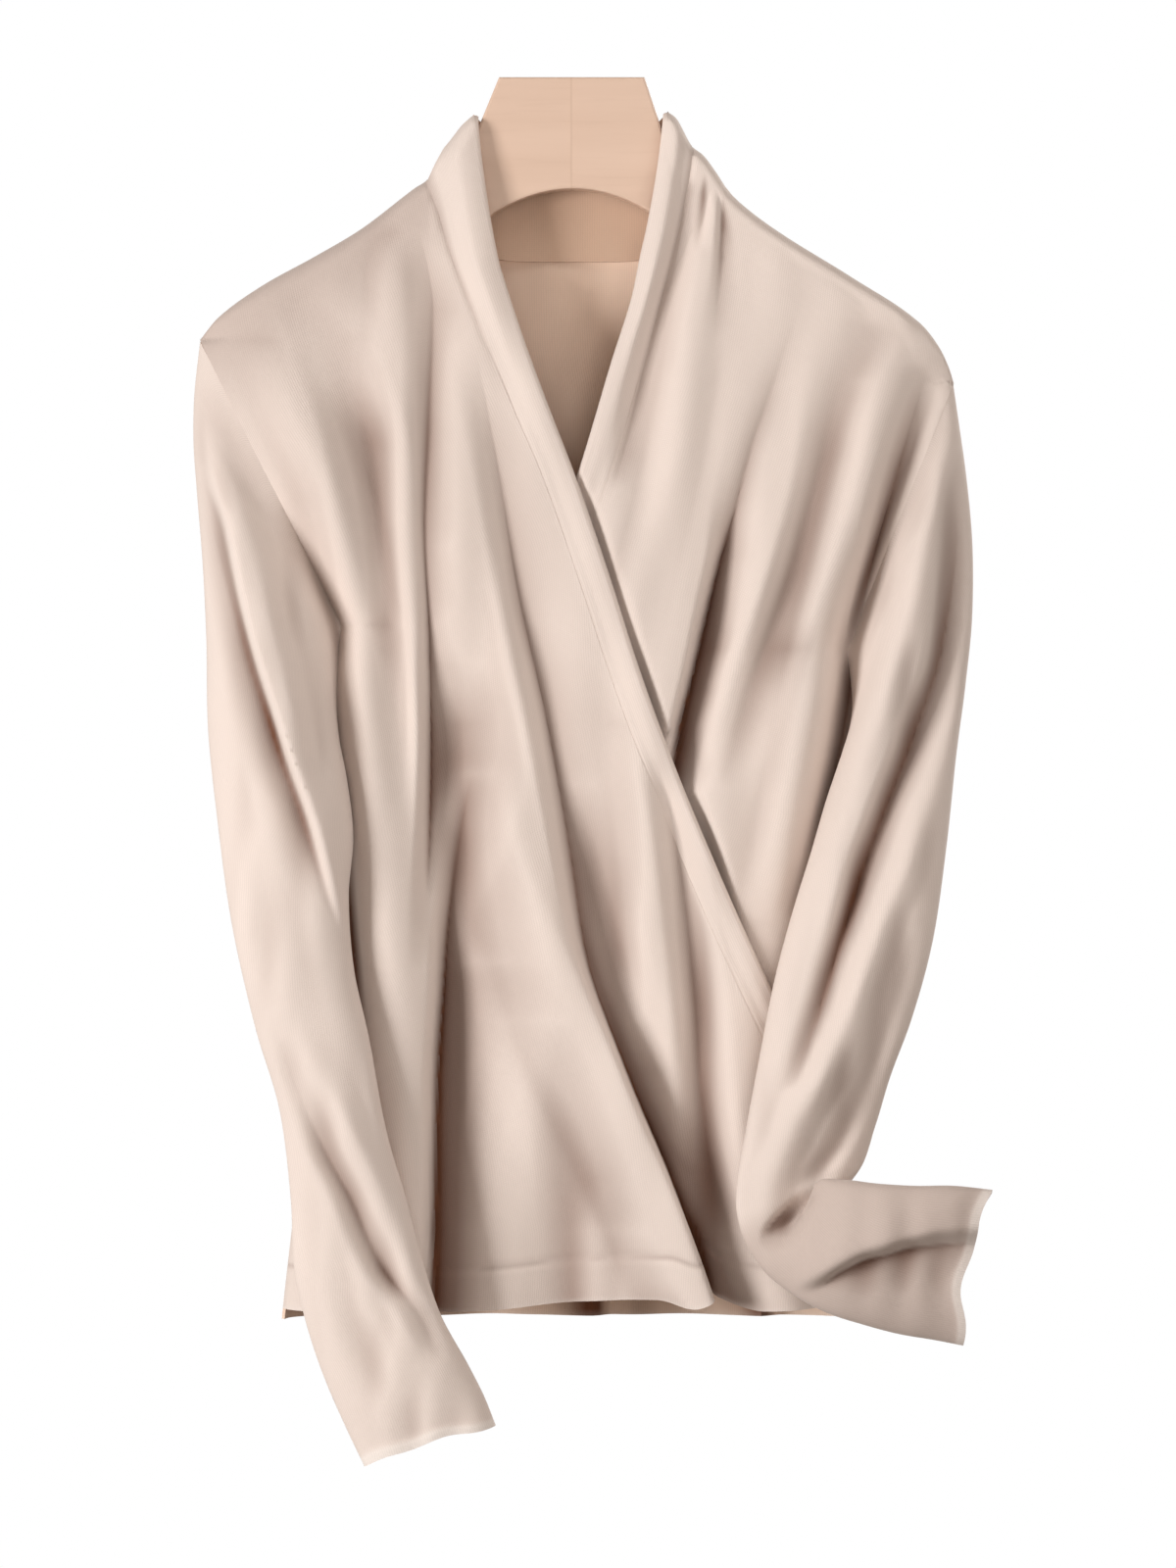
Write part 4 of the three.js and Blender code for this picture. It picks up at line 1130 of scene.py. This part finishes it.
RIGHT_SLEEVE_FOLDS = (
    ridge("bright fall of the upper arm",
          (-158, 191, 0, 7, 7), (-171, 189, 3, 7, 7), (-212, 181, 6, 9, 9), (-256, 174, 7, 10, 9),
          (-300, 161, 7, 10, 10), (-340, 149, 5, 10, 10), (-380, 136, 3, 9, 9), (-415, 124, 0, 8, 8)),
    trough("long hollow of the arm",
           (-185, 198, 0, 8, 8), (-204.5, 197, 5, 8, 10), (-241.5, 195, 12, 8, 14), (-292.5, 187, 17, 7, 15),
           (-338, 172, 15.5, 8, 15), (-383, 154, 13, 8, 15), (-426, 139, 13, 8, 13), (-459, 129, 10, 8, 11),
           (-490.5, 119, 6, 8, 9), (-515, 110, 0, 8, 8), crisp=0.35),
    ridge("second fall beside it",
          (-345, 186, 0, 10, 10), (-403, 165, 5, 11, 10), (-432, 152, 6.5, 11, 10), (-457, 143, 7, 11, 10),
          (-499, 128, 7, 11, 10), (-532, 110, 5, 10, 10), (-558, 100, 4, 9, 9), (-585, 96, 0, 9, 9)),
    trough("crease that runs to the elbow",
           (-425, 174, 0, 7, 7), (-465, 163, 3.5, 8, 7), (-510, 148, 5, 8, 7), (-540, 134, 5, 8, 7),
           (-562, 120, 0, 7, 7)),
)
RIGHT_CUFF_FOLDS = (
    ridge("upper lobe of the turned cuff",
          (112, -608, 0, 3, 14), (121, -604, 4, 3.5, 16), (134, -596, 6, 4, 20), (150, -588.5, 6, 4, 20),
          (187, -581, 4, 5, 18), (214, -579, 2, 6, 16), crisp=0.2, course=Course.ACROSS),
    trough("crease under that lobe",
           (112, -614, 0, 8, 3), (121, -612, 5, 14, 4), (134, -603, 9, 30, 4), (150, -596, 11, 42, 4),
           (187, -589, 10, 44, 6), (214, -588, 8, 42, 6), crisp=0.3, course=Course.ACROSS),
    trough("mouth of the turned cuff",
           (94, -587, 0, 5, 4), (101, -579, 9, 11, 3.5), (110, -569.5, 14, 15, 3.5), (120, -558.5, 12, 13, 3),
           (129, -551, 0, 8, 3), crisp=0.5, course=Course.ACROSS),
)


@dataclass
class Sleeve:
    """A sleeve: rings from the armhole to the cuff, each round a chord from its outer to its inner end."""

    form: GarmentForm
    unit: float
    outside: bpy.types.Material
    hand: Hand
    name: str
    sections: tuple[Section, ...]
    folds: tuple[Fold, ...]
    cuff_folds: tuple[Fold, ...] = ()
    bend: float = 2.0
    wave: tuple[float, float] = (0.0, 0.0)
    # Share of painted shade laid over the turned cuff past the bend.
    shade: float = 0.0
    around: int = 116
    rows: int = 260
    armhole_gap: float = -0.35
    wander: Wander = Wander(height=0.7, width=30.0, length=150.0, seed=5)

    def ring(self, section: Section, turn: Array) -> Array:
        """Points of one section's ring."""
        v = 0.5 - 0.5 * np.cos(turn)
        bulge = section.half * np.abs(np.sin(turn)) ** 0.85
        y = section.middle - section.lean * (0.5 - v) + np.where(turn < math.pi, -bulge, bulge)
        return np.stack([mix(section.outer_x, section.inner_x, v), y,
                         mix(section.outer_z, section.inner_z, v)], axis=1)

    def armhole(self, turn: Array) -> Array:
        """Points of the first ring, along the armhole."""
        body = self.form.body
        tip, arm = body.tip[self.hand], body.underarm[self.hand]
        v = 0.5 - 0.5 * np.cos(turn)
        z = mix(tip[1], arm[1], v)
        x = mix(tip[0], arm[0], v)
        front = self.form.over_depth(x, z) if self.hand is Hand.LEFT else self.form.under_depth(x, z)
        y = np.where(turn < math.pi, -front, self.form.back_depth(x, z))
        return np.stack([x + self.hand.value * self.armhole_gap * (1 + 0.5 * v), y, z - 0.4], axis=1)

    def loft(self, rings: Array) -> tuple[Array, Array]:
        """Smooth rows through the rings.

        Args:
            rings: Points of each ring.

        Returns:
            The points of every row, and each row's share of the way from the armhole to the cuff.
        """
        middle = rings.mean(axis=1)
        way = np.concatenate([[0], np.cumsum(np.linalg.norm(np.diff(middle, axis=0), axis=1))])
        slopes = np.gradient(rings, way, axis=0)
        at = np.linspace(0, way[-1], self.rows + 1)
        i = np.clip(np.searchsorted(way, at) - 1, 0, len(way) - 2)
        span = (way[i + 1] - way[i])[:, None, None]
        t = ((at - way[i])[:, None, None]) / span
        points = (
            (2 * t**3 - 3 * t**2 + 1) * rings[i] + (t**3 - 2 * t**2 + t) * span * slopes[i]
            + (3 * t**2 - 2 * t**3) * rings[i + 1] + (t**3 - t**2) * span * slopes[i + 1]
        )
        return points, at / way[-1]

    def build(self) -> bpy.types.Object:
        """Makes the sleeve's cloth, with its folds in front and behind, its rolled cuff rim with a painted
        highlight, and painted shade in its creases and over a turned cuff.
        """
        turn = np.linspace(0, 2 * math.pi, self.around + 1)
        rings = np.stack([self.armhole(turn)] + [self.ring(section, turn) for section in self.sections])
        points, share = self.loft(rings)
        x, y, z = (points[:, :, k] for k in range(3))
        front = np.clip(np.sin(turn), 0, 1)[None, :] ** 0.6
        behind = np.clip(-np.sin(turn), 0, 1)[None, :] ** 0.6
        past = ease((share - self.bend + 0.02) / 0.04)[:, None]
        rise, shift = relief(self.folds, x, z)
        cuff, _ = relief(self.cuff_folds, x, z)
        begun = ease(share / 0.06)[:, None]
        rough = self.wander(x, z)
        out = (mix(rise, cuff, past) * front + mix(rise, cuff, past) * 0.5 * behind + rough) * begun
        grown = 0.8 * ease((share - 0.9875) / 0.004)[:, None]
        side = np.where(np.sin(turn) >= 0, -1.0, 1.0)[None, :] * np.abs(np.sin(turn))[None, :] ** 0.5
        moved = y + side * (out + grown)
        x = x + shift * front * begun * (1 - past)
        v = (0.5 - 0.5 * np.cos(turn))[None, :]
        ending = ease((share - 0.9) / 0.1)[:, None]
        swing = np.sin(math.pi * v) + 0.25 * np.sin(4 * math.pi * v)
        x, z = x + self.wave[0] * swing * ending, z + self.wave[1] * swing * ending
        # Painted shade in the front's creases, and over the whole cuff past the bend by the shade share.
        crease = np.maximum(creases(out * front, 2.8) * front, self.shade * past)
        # Painted highlight along the cuff's edge.
        rim = ease((share - 0.988) / 0.006)[:, None] + 0 * x
        grid = ClothGrid(np.stack([x, moved, z], axis=2), crease, rim, tube=True,
                         flip=self.hand is Hand.RIGHT)
        return make_cloth(self.name, grid, self.unit, self.outside)


@dataclass
class HangerDress:
    """The wooden hanger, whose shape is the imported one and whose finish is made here."""

    node: bpy.types.Object
    finish: WoodFinish = WoodFinish()

    def dress(self) -> None:
        """Gives the hanger its wood."""
        material = self.finish.material()
        if not self.node.material_slots:
            self.node.data.materials.append(material)
        for place in self.node.material_slots:
            place.material = material
        LOG.info("hanger: %d faces, %s", len(self.node.data.polygons), material.name)


@dataclass
class Studio:
    """A pale floor, soft light from the upper left and a camera square to the garment's front."""

    unit: float
    target: tuple[float, float, float] = (8.5, 0.0, -360.0)
    distance: float = 3500.0
    view_height: float = 800.0
    floor_z: float = -900.0

    def light(self, name: str, place: tuple[float, float, float], size: float, power: float,
              tint: tuple[float, float, float]) -> None:
        """A soft square light that looks at the garment.

        Args:
            name: Name of the light.
            place: Where it stands, in millimetres.
            size: Its side in millimetres.
            power: Its power in watts.
            tint: Its colour.
        """
        lamp = bpy.data.lights.new(name, "AREA")
        lamp.size, lamp.energy, lamp.color = size * self.unit, power, tint
        made = bpy.data.objects.new(name, lamp)
        made.location = Vector(place) * self.unit
        aim = Vector(self.target) * self.unit - made.location
        made.rotation_euler = aim.to_track_quat("-Z", "Y").to_euler()
        bpy.context.scene.collection.objects.link(made)

    def world(self) -> None:
        """White all round for the eye, dimmer for the light that it gives."""
        world = bpy.data.worlds.new("white_room")
        world.use_nodes = True
        world.node_tree.nodes.clear()
        wire = Wiring(world.node_tree)
        seen, given = wire.node("ShaderNodeBackground"), wire.node("ShaderNodeBackground")
        seen.inputs[0].default_value, seen.inputs[1].default_value = (1, 1, 1, 1), 1.0
        given.inputs[0].default_value, given.inputs[1].default_value = (1.0, 0.83, 0.70, 1), 0.22
        path, blend = wire.node("ShaderNodeLightPath"), wire.node("ShaderNodeMixShader")
        wire.feed(path.outputs["Is Camera Ray"], blend.inputs[0])
        wire.feed(given.outputs[0], blend.inputs[1])
        wire.feed(seen.outputs[0], blend.inputs[2])
        wire.feed(blend.outputs[0], wire.node("ShaderNodeOutputWorld").inputs[0])
        bpy.context.scene.world = world

    def floor(self) -> bpy.types.Object:
        """A round pale floor below the garment."""
        mesh = bmesh.new()
        bmesh.ops.create_circle(mesh, cap_ends=True, segments=96, radius=1100 * self.unit)
        for vertex in mesh.verts:
            vertex.co.z = self.floor_z * self.unit
        data = bpy.data.meshes.new("floor")
        mesh.to_mesh(data)
        mesh.free()
        made = bpy.data.objects.new("floor", data)
        bpy.context.scene.collection.objects.link(made)
        material = bpy.data.materials.new("pale_floor")
        material.use_nodes = True
        shader = material.node_tree.nodes["Principled BSDF"]
        shader.inputs["Base Color"].default_value = (0.9, 0.9, 0.9, 1)
        shader.inputs["Roughness"].default_value = 0.9
        shader.inputs["Emission Color"].default_value = (1, 1, 1, 1)
        shader.inputs["Emission Strength"].default_value = 0.7
        data.materials.append(material)
        made.visible_diffuse = False
        return made

    def camera(self) -> None:
        """The camera, square to the front, far enough away to keep the garment's true outline."""
        lens = bpy.data.cameras.new("camera")
        lens.sensor_fit, lens.sensor_height = "VERTICAL", 36.0
        lens.lens = 36.0 * self.distance / self.view_height
        lens.clip_end = 50.0
        made = bpy.data.objects.new("camera", lens)
        made.location = Vector((self.target[0], self.target[1] - self.distance, self.target[2])) * self.unit
        made.rotation_euler = (math.radians(90), 0, 0)
        bpy.context.scene.collection.objects.link(made)
        bpy.context.scene.camera = made

    def build(self) -> None:
        """Sets up the light, the floor and the camera."""
        self.world()
        self.floor()
        self.camera()
        self.light("key", (-2200, -1600, -420), 850, 63.0, (1.0, 0.99, 0.985))
        self.light("front", (200, -2750, -350), 1500, 13.0, (1.0, 0.97, 0.95))
        self.light("right", (2100, -1800, 300), 1400, 11.0, (1.0, 0.98, 0.96))
        self.light("top", (1000, -1100, 1400), 1100, 11.0, (1.0, 0.99, 0.98))
        self.light("behind", (1500, 2300, 350), 1400, 42.0, (1.0, 0.98, 0.96))
        self.light("behind_left", (-1900, 1900, 0), 1400, 14.0, (1.0, 0.98, 0.96))
        bpy.context.scene.view_settings.view_transform = "Standard"


class Cut(NamedTuple):
    """A cloth piece's flat cut in millimetres: its width and length, and its area in square centimetres."""

    width: float
    length: float
    area: float


def declare(piece: bpy.types.Object, node: str) -> None:
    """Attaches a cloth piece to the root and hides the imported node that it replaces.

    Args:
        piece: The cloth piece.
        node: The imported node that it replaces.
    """
    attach(piece, "root")
    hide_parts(node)


def main() -> None:
    """Builds the garment in order, piece by piece, and the studio round it."""
    logging.basicConfig(level=logging.INFO, format="%(name)s: %(message)s")
    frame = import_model()
    low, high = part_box("hanger")
    unit = (high.x - low.x) / HANGER_WIDTH
    # The deep colour of each knit is the painted shade that its crease attribute mixes in.
    knit = KnitFinish("oatmeal_knit", base=colour(231, 217, 208), deep=colour(100, 54, 24)).material()
    # A brighter, warmer copy of the knit for the back's inside: painted light where little light reaches
    # through the neck opening.
    back_inside_painted_light = KnitFinish("oatmeal_knit_back_inside_painted_light", base=colour(255, 226, 204), deep=colour(118, 66, 34)).material()
    form = GarmentForm()
    panels, bands = Panels(form, unit, knit), Neckbands(form, unit, knit)
    declare(Panels(form, unit, knit, back_inside_painted_light).build_back(), "back")
    declare(panels.build_under(), "front_under")
    declare(panels.build_over(), "front_over")
    # A darker copy of the knit for the back neckband's inside: painted shade of the hanger's head.
    neck_inside_painted_shade = KnitFinish("oatmeal_knit_neck_inside_painted_shade", base=colour(222, 190, 166), deep=colour(112, 66, 38)).material()
    declare(Neckbands(form, unit, knit, neck_inside_painted_shade).build_back(), "neckband_back")
    declare(bands.build_under(), "neckband_under")
    declare(bands.build_over(), "neckband_over")
    declare(Sleeve(form, unit, knit, Hand.LEFT, "knit_sleeve_left", LEFT_SECTIONS, LEFT_SLEEVE_FOLDS,
                   wave=(0.0, 3.0)).build(),
            "sleeve_left")
    declare(Sleeve(form, unit, knit, Hand.RIGHT, "knit_sleeve_right", RIGHT_SECTIONS, RIGHT_SLEEVE_FOLDS,
                   RIGHT_CUFF_FOLDS, bend=0.755, wave=(-6.0, 0.0), shade=0.3).build(),
             "sleeve_right")
    HangerDress(frame["nodes"]["hanger"]).dress()
    Studio(unit).build()
    bpy.context.view_layer.update()


if __name__ == "__main__":
    main()
